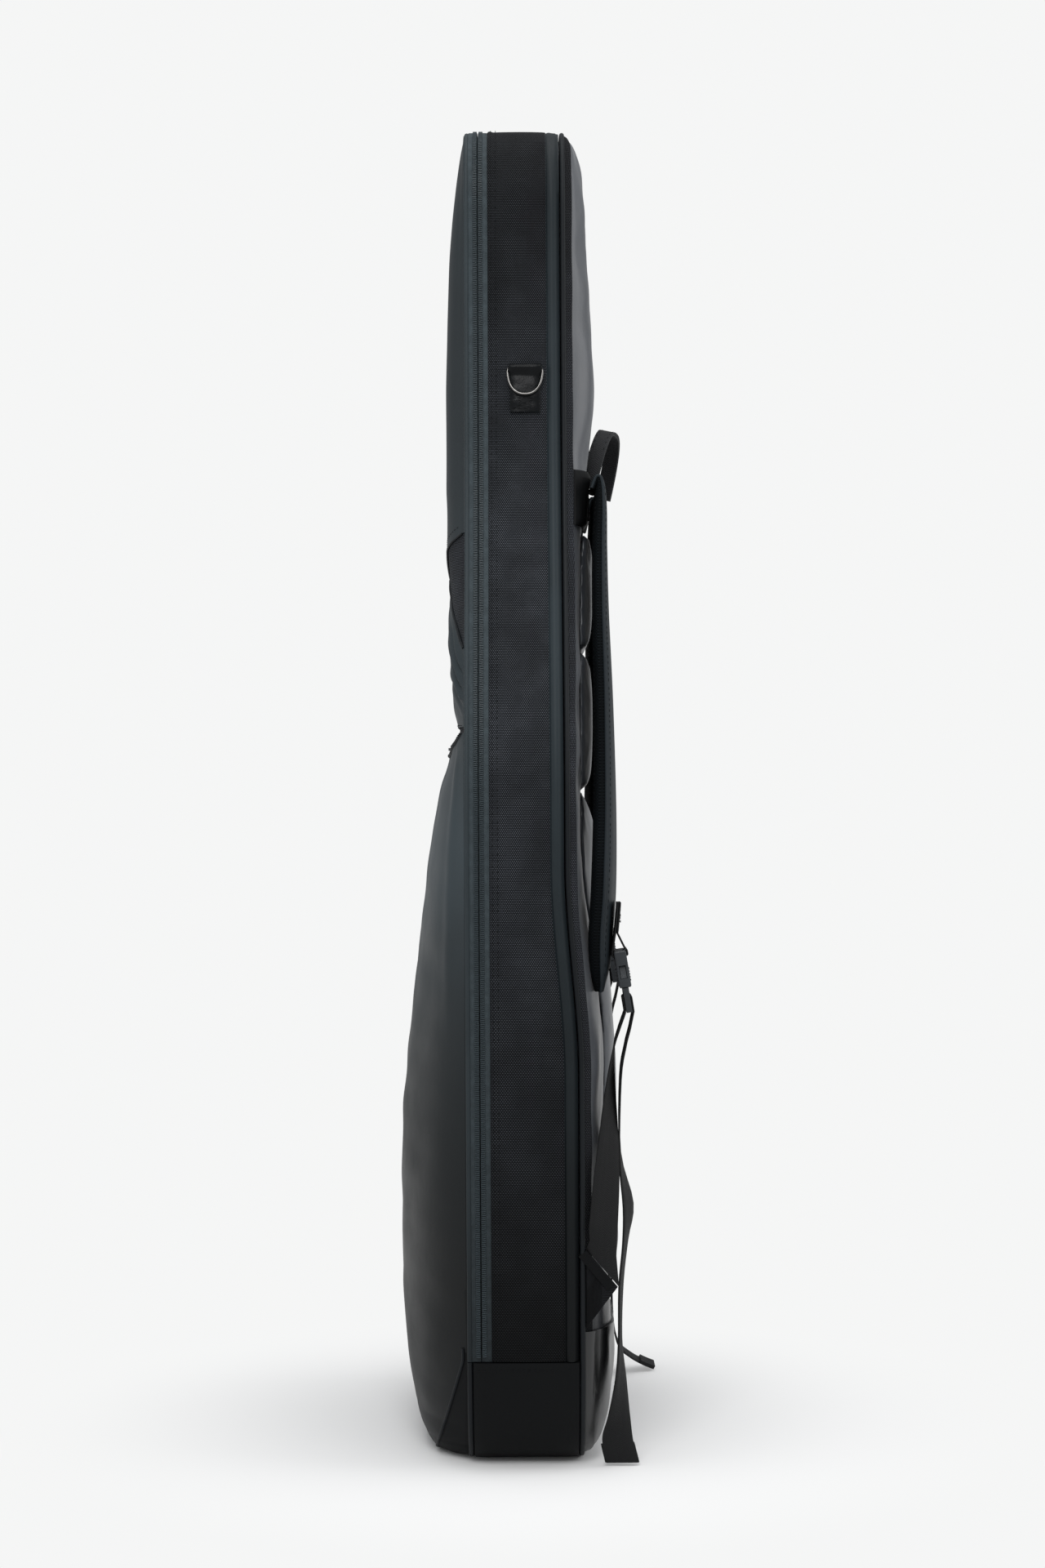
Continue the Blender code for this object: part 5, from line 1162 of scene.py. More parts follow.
def build_back():
    """Padded back panel, the plain cloth at its foot and the three back cushions."""
    size = sizes()
    rim = Rim()
    across = across_places(91)

    def creased(height, places):
        soft = smoothstep((1 - np.abs(places)) * 6)
        from_rim = (1 - np.abs(places)) * rim.half_width(height)
        pucker = 0.0021 * bell(from_rim, 0.018, 0.011) * ripple(height, 0.0 * places, 0.055, 33)
        waves = (0.0006 * ripple(places * 0.16, height * 0.45, 0.035, 31)
                 + 0.0004 * ripple(places * 0.16, height, 0.022, 32))
        return back_face(height, places, rim) + pucker + soft * waves

    def choose(grid):
        from_rim = (1 - np.abs(across[:-1] + across[1:]) / 2) * rim.half_width(grid[:-1, :1, 2])
        return (from_rim < EDGE_BAND).astype(np.int32) * 2

    rows = rim.side(0.0, size.seam_height, PANEL_STEP)
    panel = shell("padded_back", panel_grid(rows, across, creased),
                  panel_grid(rows, across, back_lining), ["back", "lining", "canvas"], choose)
    dress(panel, "bag", "back_cloth", "back_panel")

    rows = rim.side(0.0, 0.108)
    foot = panel_grid(rows, across, creased)
    hem = 0.0006 * smoothstep((rows[:, 1, None] - 0.098) / 0.004)
    skin = shell("back_foot", moved(foot, 0.0016 + hem), moved(foot, 0.0004), ["foot"])
    dress(skin, "bag", "boot_cloth", "back_boot")

    def seat_y(height, x):
        return back_face(height, x / (rim.half_width(height) - COVER_INSET), rim)

    lines = []
    t = np.linspace(-1.0, 1.0, 61)
    for node, (low, high, share) in PAD_PLACE_SHARES.items():
        name = node.replace("back_pad", "cushion")
        low, high = low * size.seam_height, high * size.seam_height
        s = np.linspace(-1.0, 1.0, max(int((high - low) / SEAM_STEP), 24))[:, None]
        height = (low + high) / 2 + (high - low) / 2 * s
        places = t * share * (1.0 - 0.10 * np.abs(s) ** 14)
        x = places * (rim.half_width(height) - COVER_INSET)
        base = back_face(height, places, rim) + 0.0005
        crown = (1 - np.abs(s) ** 26) * (1 - np.abs(t) ** 12)
        tall = 0.0062 if node == "back_pad_lower" else 0.0058
        over = joined(x, base + 0.0012 + tall * crown ** 0.5, height)
        pad = shell(name, over, joined(x, base, height), ["back"])
        puffed(pad, seat_y, 0.0042)
        dress(pad, "bag", "back_cloth", node)
        edge = np.concatenate([over[2, 2:-2], over[2:-2, -3], over[-3, -3:1:-1],
                               over[-3:1:-1, 2]])
        rope = resampled(np.vstack([edge, edge[:1]]), SEAM_STEP)[:-1]
        rope[:, 1] = seat_y(rope[:, 2], rope[:, 0]) + 0.0014
        rope[:, 0] *= 1.016
        middle = rope[:, 2].mean()
        rope[:, 2] = middle + (rope[:, 2] - middle) * (1 + 0.0035 / (high - low))
        dress(tube(name + "_edge", rope, TRIM_RADIUS, closed=True), "bag", "back_cloth")
        lines.append((rope * (1.012, 1.0, 1.0) + (0.0, -0.0004, 0.0), TO_BACK))
    stitch_piece("cushion_stitches", "bag", lines, "back_cloth")


def build_inside():
    """Neck rest with its two closing straps, and the bumper under the guitar's body."""
    low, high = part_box("neck_cradle")
    seat, top = high.y, low.y
    profile = [(-0.058, seat), (-0.058, top + 0.006)]
    profile += corner_turn((-0.052, top + 0.006), 0.006, 180, 270, 5)
    profile.append((-0.034, top))
    for turn in np.linspace(0.15, math.pi - 0.15, 15):
        profile.append((-0.030 * math.cos(turn), top + 0.0005 + 0.0185 * math.sin(turn)))
    profile += [(-x, y) for x, y in profile[8::-1]]
    rings = []
    for height in np.linspace(low.z, high.z, 25):
        near_end = min(height - low.z, high.z - height)
        pull = 0.004 * (1 - min(near_end / 0.006, 1.0)) ** 2
        rings.append([(x * (1 - pull / 0.06), min(y + pull, seat), height) for x, y in profile])
    rest = sweep("neck_rest", rings, ["lining"], sharp=50.0)
    dress(rest, "bag", "foam", "neck_cradle")

    for label, _ in SIDES:
        node = "neck_strap_" + label
        low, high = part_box(node)
        dress(box_ribbon("rest_strap_" + label, low, high, 24), node, "webbing", node)
        ends = np.array((low.z + 0.003, high.z - 0.003))
        lines = [(joined(x, low.y - 0.0001, ends), TO_LID)
                 for x in (low.x + 0.004, high.x - 0.004)]
        stitch_piece("rest_strap_stitches_" + label, node, lines, "webbing")

    bumper = solid_box("foot_bumper", *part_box("bottom_bumper"))
    bevel(bumper, 0.008, 4)
    surface(bumper, "lining", 50)
    dress(bumper, "bag", "foam", "bottom_bumper")


# Lid and pockets

def build_lid():
    """Padded lid panel, its smooth head cover, and the panel below the fold line."""
    size = sizes()
    rim = Rim()
    across = across_places(81)

    def sunk(height, places):
        return front_face(height, places) - inset_rise(height, places)

    for name, low, high, slot, node in (
            ("lid_panel", size.fold_height + FOLD_GAP, size.seam_height, "smooth_cloth",
             "front_panel"),
            ("toe_cloth", 0.0, size.fold_height - FOLD_GAP, "canvas", "toe_panel")):
        rows = rim.side(low, high, PANEL_STEP)
        panel = shell(name, panel_grid(rows, across, sunk),
                      panel_grid(rows, across, front_lining), ["canvas", "lining"])
        dress(panel, None, slot, node)

    # Smooth cover of the head end, whose lower edge is an arch
    seam = arch_seam(across)
    heights = rim.side(ARCH_LOW, size.seam_height)[:, 1, None] + 0 * across
    heights = heights + (seam - ARCH_LOW) * (1 - smoothstep((heights - ARCH_LOW) / 0.11))
    along = np.interp(heights, rim.z, rim.along)
    along[-1] = rim.along[-1]
    x, z, out_x, out_z = rim.at(along)
    soft = smoothstep((1 - np.abs(across)) * 8) * smoothstep((heights - seam) / 0.045)
    y = front_face(heights, across) - np.maximum(inset_rise(heights, across) + 0.0009, 0.0)
    y = y - soft * 0.0005 * ripple(across * 0.1, heights * 0.5, 0.06, 41)
    outer = joined((x - out_x * PANEL_INSET) * across, y, z - out_z * PANEL_INSET)
    cover = shell("head_cover", outer, moved(outer, 0.0008), ["smooth"])
    dress(cover, "lid", "smooth_cloth")
    line = outer[0, 1:-1] + (0.0, -0.0001, -0.0003)
    dress(tube("head_seam", line, 0.0008), "lid", "piping")
    stitch_piece("head_stitches", "lid", [(outer[2, 2:-2] + ON_LID, TO_LID)], "smooth_cloth")


def build_upper_pocket():
    """Smooth slip pocket with a bound top edge and slack folds that run to its sides."""
    across = across_places(101)
    share = np.linspace(0.0, 1.0, 116)[:, None]
    heights = SLIP_POCKET_LOW + share * (upper_pocket_edge(across) - SLIP_POCKET_LOW)
    x = (Rim().half_width(heights) - COVER_INSET) * across
    base = front_face(heights, across)
    full = np.interp(heights, (0.561, 0.571, 0.581, 0.592, 0.608, 0.6255, 0.645, 0.664, 0.690),
                     (0.0010, 0.0010, 0.0013, 0.0020, 0.0038, 0.0054, 0.0060, 0.0058, 0.0042))
    full = 0.0010 + (full - 0.0010) * (1 - np.abs(across) ** 4)

    # Creases that sweep down to the side seams, each under a rolled fold
    folds = 0.0
    for middle, fall, tall in ((0.6605, 0.0640, 0.0026), (0.6350, 0.0500, 0.0026),
                               (0.6060, 0.0300, 0.0022)):
        above = heights - (middle - fall * np.abs(across) ** 4)
        above = above + 0.0010 * ripple(x, heights, 0.06, 52)
        folds = folds + tall * (bell(above, 0.0068, 0.0050) + 0.35 * bell(above, -0.0058, 0.0040)
                                - 0.80 * bell(above, 0.0, 0.0021))
    side = 0.06 + 0.94 * smoothstep((np.abs(across) - 0.64) / 0.20)
    ends = smoothstep(share * 9) * smoothstep((1 - np.abs(across)) * 26)
    slack = smoothstep((1.0 - share) * 4.5)
    small = 0.0003 * ripple(x, heights, 0.045, 51)
    rest = np.maximum(inset_rise(heights, across), -0.0002) + 0.0010
    off = rest + (full - rest) * slack + ends * (folds * side * slack + small)
    y = base - np.maximum(off, 0.0008)
    outer = joined(x, y, heights)
    inner = joined(x, np.minimum(y + 0.0014, base + 0.0012), heights)
    pocket = shell("slip_pocket", outer, inner, ["smooth", "lining"])
    dress(pocket, "lid", "canvas", "upper_pocket")
    trim = tube("slip_pocket_edge", outer[-1, 1:-1] + (0.0, 0.0004, 0.0), TRIM_RADIUS)
    dress(trim, "lid", "piping")
    lines = [(outer[row, 2:-2] + ON_LID, TO_LID) for row in (-3, 2)]
    stitch_piece("slip_pocket_stitches", "lid", lines, "smooth_cloth")


def pocket_surface(height, across):
    """Pocket face with a soft crease near its side seams and slack cloth over its front."""
    lift = smoothstep((height - 0.30) / 0.12) * smoothstep((0.56 - height) / 0.03)
    crease = 0.0015 * bell(np.abs(across), 0.915, 0.034) * lift
    slack = (0.0012 * ripple(across * 0.17, height * 0.6, 0.10, 61)
             + 0.0005 * ripple(across * 0.17, height, 0.035, 62))
    middle = smoothstep((1 - np.abs(across)) * 7) * smoothstep(height / 0.05)
    return pocket_face(height, across) - crease - slack * middle


def wedge_line(height):
    """Depth of the dark wedge's edge at each height: from the foot back to the seam."""
    return np.interp(height, (0.002, 0.094), (-0.0690, -0.0441))


def build_lower_pocket():
    """Bulging lower pocket with its foot, dark side wedges, mouth zip and rope welt."""
    rim = Rim()
    half, split, widest = 60, 50, 0.988
    levels = np.vstack([rim.side(0.0, WEDGE_HEIGHT, 0.0024),
                        rim.side(0.095, MOUTH_HEIGHT)])[:, 1]
    fine = np.linspace(0.0, 1.0, 801)
    t = np.linspace(0.0, 1.0, split + 1)
    t = 0.75 * t + 0.25 * np.sin(t * math.pi / 2)
    columns = []
    for height in levels:
        place = float(np.interp(wedge_line(height), pocket_surface(height, fine), fine))
        if height > WEDGE_HEIGHT:
            turn = float(smoothstep((height - WEDGE_HEIGHT) / 0.06))
            place = widest + (0.90 - widest) * turn
        place = min(place, widest)
        columns.append(np.append(t * place, np.linspace(place, 1.0, half - split + 1)[1:]))
    columns = np.array(columns)
    across = np.concatenate([-columns[:, :0:-1], columns], axis=1)
    level = levels[:, None]
    share = np.clip((level - 0.15) / (MOUTH_HEIGHT - 0.15), 0.0, 1.0)
    heights = level + (mouth_edge(across) - MOUTH_HEIGHT) * share ** 4
    x, _, out_x, out_z = rim.at(np.interp(heights, rim.z, rim.along))
    z = np.maximum(heights - out_z * COVER_INSET, 0.0006)
    z = np.where(level < 0.010, np.minimum(z, 0.0006 + level * 1.25), z)
    hem = smoothstep((heights - mouth_edge(across) + 0.010) / 0.004)
    foot = smoothstep((0.006 - z) / 0.006) * smoothstep((1 - np.abs(across)) * 4)
    y = pocket_surface(heights, across) - 0.0004 * hem + 0.0025 * foot ** 2
    outer = joined((x - out_x * COVER_INSET) * across, y, z)
    closing = outer[:1].copy()
    closing[..., 1:] = float(front_face(0.004, 0.0)) - 0.0030, 0.0010
    outer = np.concatenate([closing, outer])
    inner = outer.copy()
    rear = front_face(np.vstack([heights[:1], heights]), np.vstack([across[:1], across]))
    inner[..., 1] = np.minimum(outer[..., 1] + 0.0018, rear + 0.0004)
    inner[..., 2] = np.maximum(inner[..., 2], 0.0030)

    def choose(grid):
        marks = np.zeros((grid.shape[0] - 1, grid.shape[1] - 1), dtype=np.int32)
        low = int(np.searchsorted(levels, WEDGE_HEIGHT)) + 1
        marks[:low, :half - split] = marks[:low, split - half:] = 2
        marks[:3] = 2
        return marks

    pocket = shell("big_pocket", outer, inner, ["smooth", "lining", "boot"], choose)
    dress(pocket, None, "smooth_cloth", "lower_pocket", "pocket_toe")

    # Piping on the wedges' slanting edges and across the foot
    low = int(np.searchsorted(levels, 0.094)) + 1
    for name, edge in (("wedge_piping_far", outer[3:low + 1, half - split]),
                       ("wedge_piping_near", outer[3:low + 1, half + split]),
                       ("foot_piping", outer[3, half - split:half + split + 1])):
        dress(tube(name, edge + (0.0, -0.0003, 0.0), 0.0013), None, "piping")

    # Rope welt along the mouth: two cords twisted round each other
    centre = resampled(outer[-1, 3:-3] + (0.0, 0.0002, 0.0010), 0.0008)
    turn = np.arange(len(centre)) * 0.0008 * 2 * math.pi / 0.0075
    tangent = unit(np.gradient(centre, axis=0))
    up = unit(np.cross(tangent, TO_BACK))
    side = np.cross(tangent, up)
    for index, nodes in enumerate((["pocket_welt"], [])):
        angle = (turn + index * math.pi)[:, None]
        strand = centre + 0.0009 * (up * np.cos(angle) + side * np.sin(angle))
        cord = tube("mouth_welt_%d" % index, strand[::2], 0.0010, sides=6)
        dress(cord, "lid", "piping", *nodes)

    # Zip tape across the mouth, behind the welt
    places = across_places(101)
    places = places[np.abs(places) < 0.90]
    heights = mouth_edge(places)
    x = (rim.half_width(heights) - COVER_INSET) * places
    back, front = (face(heights, places) + 0.0008 for face in (front_face, pocket_face))
    rings = [joined(x, back + (front - back) * share, heights + lift)
             for share, lift in ((0.0, 0.0002), (0.35, 0.0014), (0.65, 0.0014), (1.0, 0.0006))]
    rings += [ring - (0.0, 0.0, 0.0009) for ring in rings[::-1]]
    tape = sweep("mouth_tape", np.stack(rings, axis=1), ["tape"])
    dress(tape, "lid", "zip_tape", "pocket_zip_tape")


# Rings and handles

def build_rings():
    """Folded leather tabs and polished D rings on both sides of the neck."""
    rim = Rim()
    wire = 0.0015
    for label, side in SIDES:
        node = "d_ring_" + label
        low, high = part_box(node)
        bar = joint_place(node + "_swing")
        drop = bar.z - low.z - wire
        half = (high.y - low.y) / 2 - wire
        outward = max(abs(low.x), abs(high.x)) - wire - abs(bar.x)
        bpy.ops.object.select_all(action="DESELECT")
        bpy.ops.mesh.primitive_torus_add(major_radius=half, minor_radius=0.00098,
                                         major_segments=64, minor_segments=14,
                                         location=(0.0, 0.0, 0.0))
        ring = bpy.context.object
        ring.name = "ring_" + label
        for vertex in ring.data.vertices:
            flat = Vector((vertex.co.x, vertex.co.y, 0.0))
            way = flat.normalized()
            off_round, off_flat = flat.length - half, vertex.co.z
            across = half * math.copysign(abs(way.x) ** 0.85, way.x)
            if way.y < 0:
                fall = drop * abs(way.y) ** 0.85
                y, z = across + way.x * off_round, way.y * off_round - fall
            else:
                fall, y, z = 0.0, across * 0.97, off_round
            vertex.co = bar + Vector((side * (outward * fall / drop + off_flat), y, z))
        turn_outwards(ring.data, merge=0.00001)
        surface(ring, "chrome", 60)
        dress(ring, node, "chrome", node)

        low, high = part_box(node + "_tab")
        centre_y, wide, tall = (low.y + high.y) / 2, 0.0095, 0.0040
        under = [(float(rim.half_width(z)) + 0.0009, z)
                 for z in np.linspace(low.z, bar.z - 0.003, 16)]
        over = [(x + 0.0022 + 0.0010 * math.sin(math.pi * k / 15), z)
                for k, (x, z) in enumerate(under)]
        curl = [(abs(bar.x) - 0.0024 * math.cos(t), bar.z + 0.0026 * math.sin(t))
                for t in np.linspace(0.0, math.pi, 11)]
        x, z = np.array(under + curl + over[::-1]).T
        points = spline(joined(side * x, centre_y, z)[::2], 3)
        worn = (1 + 0.025 * np.sin(np.linspace(0, 9, len(points)))
                + 0.17 * bell(points[:, 2], bar.z, 0.0036))
        halves = joined(0.0, (high.y - low.y) / 2 * worn, 0.0)
        tab = ribbon("ring_tab_" + label, points, halves, 0.0013, "leather")
        for vertex in tab.data.vertices:
            wave = math.sin(vertex.co.y * 900) * math.sin(vertex.co.z * 700 + 1)
            vertex.co.x += side * 0.00022 * wave
        dress(tab, "bag", "leather", node + "_tab")
        spot = (side * (over[0][0] + 0.0008), centre_y, low.z + 0.0025 + tall)
        lines = boxed_stitches(spot, (0, wide, 0), (0, 0, tall), (side, 0, 0),
                               ((0, 1), (3, 2), (0, 2), (1, 3)))
        stitch_piece("ring_tab_stitches_" + label, "bag", lines, "leather")


def build_handles():
    build_grab_handle()
    build_carrying_handle()


def build_grab_handle():
    """Grab handle at the top of the back: a sewn bar and a loop of doubled webbing."""
    low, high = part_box("grab_handle_base")
    bar = box_ribbon("handle_bar", low, high, 60)
    dress(bar, "bag", "webbing", "grab_handle_base")
    lines = []
    for side in (-1, 1):
        spot = (side * 0.042, high.y + 0.0001, (low.z + high.z) / 2 - 0.002)
        lines += boxed_stitches(spot, (0.008, 0, 0), (0, 0, 0.0095), TO_BACK)
    stitch_piece("handle_bar_stitches", "bag", lines, "webbing")

    lean = np.array(Matrix.Rotation(-math.radians(13), 3, "X"))
    turn = np.linspace(0.0, math.pi, 61)
    spread = signed_power(np.cos(turn), 0.7)
    arch = joined(0.044 * spread, 0.0, 0.050 * np.sin(turn) ** 0.8) @ lean.T
    arch = arch + np.array(joint_place("grab_handle_tilt"))
    arch[:, 1] -= 0.0070 * spread
    points = resampled(arch, 0.0022)
    halves = np.tile(lean @ (0.0016, 0.0063, 0.0), (len(points), 1))
    loop = ribbon("handle_loop", points, halves, 0.0016, "handle webbing", 0.0009)
    dress(loop, "grab_handle", "webbing", "grab_handle")
    inner = ribbon("handle_loop_lining", points, halves * 0.96, 0.0013, "handle webbing",
                   -0.0007)
    dress(inner, "grab_handle", "webbing")
    rise = face_up(points, halves)
    middle = slice(int(len(points) * 0.22), int(len(points) * 0.78))
    lines = []
    for share in (-0.70, 0.70):
        line = points + halves * share + rise * 0.00185
        lines += stitch_rows(line[middle], rise[middle], 3)
    stitch_piece("handle_loop_stitches", "grab_handle", lines, "webbing")


def oval(angles, half_out, half_wide, round_out, round_wide):
    """Points of a flattened round section, out of the bag and across it."""
    return np.stack((half_out * signed_power(np.cos(angles), round_out),
                     half_wide * signed_power(np.sin(angles), round_wide)), axis=1)


def build_carrying_handle():
    """Carrying webbing on the far side, its two sewn patches and the grip closed over it."""
    low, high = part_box("carry_handle")
    middle, half_span = (low + high) / 2, (high.z - low.z) / 2
    web = high.x - 0.0014
    turn = np.linspace(0.0, math.pi, 49)
    x = web - (high.x - low.x - 0.0028) * np.sin(turn) ** 1.5
    z = middle.z - (half_span - 0.030) * np.cos(turn)
    x, z = np.pad(x, 1, constant_values=web), np.concatenate([[low.z], z, [high.z]])
    points = resampled(joined(x, middle.y, z), 0.0025)
    strap = ribbon("carrying_webbing", points, (0.0, 0.0125, 0.0), 0.0026)
    dress(strap, "bag", "webbing", "carry_handle")

    low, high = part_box("carry_grip")
    inside = (points[:, 2] > low.z) & (points[:, 2] < high.z)
    line = points[inside]
    out = unit(np.cross(TO_BACK, np.gradient(points, axis=0)[inside]))
    out *= np.sign(-out[:, :1])
    start, end = math.pi + 0.06, 3 * math.pi - 0.06
    skin = oval(np.linspace(start, end, 33), 0.0062, 0.0172, 0.7, 0.8)
    hollow = oval(np.linspace(end, start, 17), 0.0019, 0.0132, 0.5, 0.6)
    rings = []
    for index, (centre, way) in enumerate(zip(line, out)):
        full = 0.90 + 0.10 * min(index / 3.0, (len(line) - 1 - index) / 3.0, 1.0)
        section = np.vstack([skin * full, hollow])
        rings.append(centre + section @ np.array((way, TO_BACK)))
    grip = sweep("grip", rings, ["leather"])
    dress(grip, "bag", "leather", "carry_grip")
    lines = []
    for across in (-0.0118, 0.0118):
        lines += stitch_rows(line + out * 0.0064 + (0.0, across, 0.0), out, 3)

    for node in ("carry_patch_upper", "carry_patch_lower"):
        low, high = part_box(node)
        patch = solid_box(node.replace("carry_", "handle_"), low, high)
        shape = bmesh.new()
        shape.from_mesh(patch.data)
        sides = [edge for edge in shape.edges
                 if abs(edge.verts[0].co.x - edge.verts[1].co.x) > 0.001]
        bmesh.ops.bevel(shape, geom=sides, offset=0.005, segments=5, affect="EDGES",
                        profile=0.5)
        shape.to_mesh(patch.data)
        shape.free()
        bevel(patch, 0.0006, 2)
        surface(patch, "leather", 40)
        dress(patch, "bag", "leather", node)
        middle = (low + high) / 2
        lines += boxed_stitches((low.x - 0.0001, middle.y, middle.z), (0, 0.0125, 0),
                                (0, 0, 0.0085), (-1, 0, 0))
    stitch_piece("carrying_stitches", "bag", lines, "leather")


# Shoulder straps and their webbing

def route_scale(side):
    """Lengths that the shares of a strap's route are measured in."""
    size = sizes()
    return side * size.half_width, size.back_seam_low + size.back_bulge, size.seam_height


def strap_line(side, steps):
    """Centres, half widths, outward ways and half thicknesses along a shoulder strap."""
    rows = spline(STRAP_ROUTE_SHARES, steps)
    centres = rows[:, :3] * route_scale(side)
    halves = unit(joined(side, -rows[:, 5], 0.0)) * (rows[:, 3, None] * STRAP_HALF_WIDTH)
    return centres, halves, side * face_up(centres, halves), rows[:, 4] * STRAP_HALF_THICKNESS


def build_straps():
    """Padded shoulder straps with their bound edges, and the patches that hold them."""
    rim = Rim()
    turn = np.linspace(0.0, 2 * math.pi, 37)[:-1]
    u, w = 0.96 * signed_power(np.cos(turn), 0.55), signed_power(np.sin(turn), 0.75)
    cover = ((w + np.roll(w, -1)) / 2 > 0.42).astype(int)
    for label, side in SIDES:
        centres, halves, rise, thick = strap_line(side, 12)
        rise_full = rise * thick[:, None]
        rings = (centres[:, None] + halves[:, None] * u[:, None]
                 + rise_full[:, None] * w[:, None])
        strap = sweep("strap_" + label, rings, ["strap weave", "binding"], slots=cover,
                      across=np.append(u, u[0]) * STRAP_HALF_WIDTH, sharp=70.0)
        dress(strap, "bag", "strap_cloth", "shoulder_strap_" + label)
        for name, share in (("outer", 0.955), ("inner", -0.955)):
            line = centres + halves * share + rise_full * 0.42
            bind = tube("strap_binding_%s_%s" % (name, label), line, 0.0012, "binding")
            dress(bind, "bag", "strap_cloth")
        lines = []
        for share in (-0.80, 0.80):
            for way in (-1, 1):
                line = centres + halves * share + rise_full * (way * 0.775)
                lines += stitch_rows(line, rise * way, 4, 2, 10)
        stitch_piece("strap_stitches_" + label, "bag", lines, "strap_cloth")

        node = "strap_anchor_" + label
        low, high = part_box(node)
        heights = np.linspace(low.z, high.z, 16)[:, None]
        places = np.linspace(0.50, 0.955, 24) * side
        full = (1 - np.abs(np.linspace(-1, 1, 16)[:, None]) ** 10) * (
            1 - np.abs(np.linspace(-1, 1, 24)) ** 10)
        under = joined((rim.half_width(heights) - COVER_INSET) * places,
                       back_face(heights, places, rim) + 0.0005, heights)
        over = moved(under, 0.0012 + 0.0022 * np.sqrt(full))
        dress(shell("strap_patch_" + label, over, under, ["boot"]), "bag", "boot_cloth", node)
        lines = [(over[row, 2:-2] + (0.0, 0.0002, 0.0), TO_BACK) for row in (2, -3)]
        stitch_piece("strap_patch_stitches_" + label, "bag", lines, "boot_cloth")


def buckle_frame(side):
    """Place and tilt of a buckle."""
    size = sizes()
    across, up = BUCKLE_PLACE_SHARES
    place = Vector((side * across * size.half_width, BUCKLE_DEPTH, up * size.seam_height))
    return Matrix.Translation(place) @ Matrix.Rotation(BUCKLE_TILT, 4, "X")


def in_buckle(side, around):
    """Points in a buckle's upright plane, at the buckle's place."""
    matrix = buckle_frame(side)
    return np.array([matrix @ Vector((0.0, y, z)) for y, z in around])


def corner_turn(centre, radius, start, end, steps=6):
    """Points of an arc, from one angle in degrees to another."""
    turns = np.radians(np.linspace(start, end, steps + 1))
    return [(centre[0] + radius * math.cos(t), centre[1] + radius * math.sin(t)) for t in turns]


def build_strap_tabs():
    """Short webbing from the straps' tips round the bars of the buckles."""
    size = sizes()
    gap = WEB_GAP + size.web_thickness / 2
    around = (corner_turn((-0.0034, -0.0012), 0.0012 + gap, 150, 180)
              + corner_turn((-0.0046, -0.0032), gap, 180, 270)
              + corner_turn((0.0046, -0.0032), gap, -90, 0)
              + corner_turn((0.0034, -0.0012), 0.0012 + gap, 0, 60))
    for label, side in SIDES:
        x, _, z = buckle_frame(side).translation
        centres, _, _, thick = strap_line(side, 3)
        order = np.argsort(centres[:, 2])
        sewn = z + 0.036 * np.linspace(0.36, 1.0, 9)
        y = np.interp(sewn, centres[order, 2], (centres[:, 1] + thick)[order])
        under = joined(x, y + 0.0013 + gap, sewn)
        over = under + (0.0, size.web_thickness + WEB_GAP, 0.0)
        path = np.vstack([under[::-1], in_buckle(side, around), over])
        tab = ribbon("strap_tab_web_" + label, path, (size.web_half_width, 0.0, 0.0),
                     size.web_thickness)
        dress(tab, "bag", "webbing", "strap_tab_" + label)
        lines = boxed_stitches(over[5] + (0.0, 0.0009, 0.0), (0.0095, 0, 0), (0, 0, 0.0065),
                               TO_BACK)
        stitch_piece("strap_tab_stitches_" + label, "bag", lines, "webbing")


def lower_corners(side):
    """Lower and upper end of a triangular anchor along the back seam, and its free tip."""
    rim = Rim()
    corners = []
    for share, reach in ((0.10763, 0.0), (0.16506, 0.0), (0.13803, 0.0235)):
        height = share * sizes().seam_height
        x = side * (float(rim.half_width(height)) - 0.002)
        corners.append(np.array((x, float(back_seam(height)) + 0.0026 + reach, height)))
    return corners


def webbing_route(rows, side):
    """Centres and half widths of a stretch of adjusting webbing."""
    table = spline(rows, 4)
    turn = table[:, 3] * math.pi / 2
    halves = joined(-side * np.cos(turn), np.sin(turn), 0.0) * sizes().web_half_width
    return table[:, :3] * route_scale(side), halves


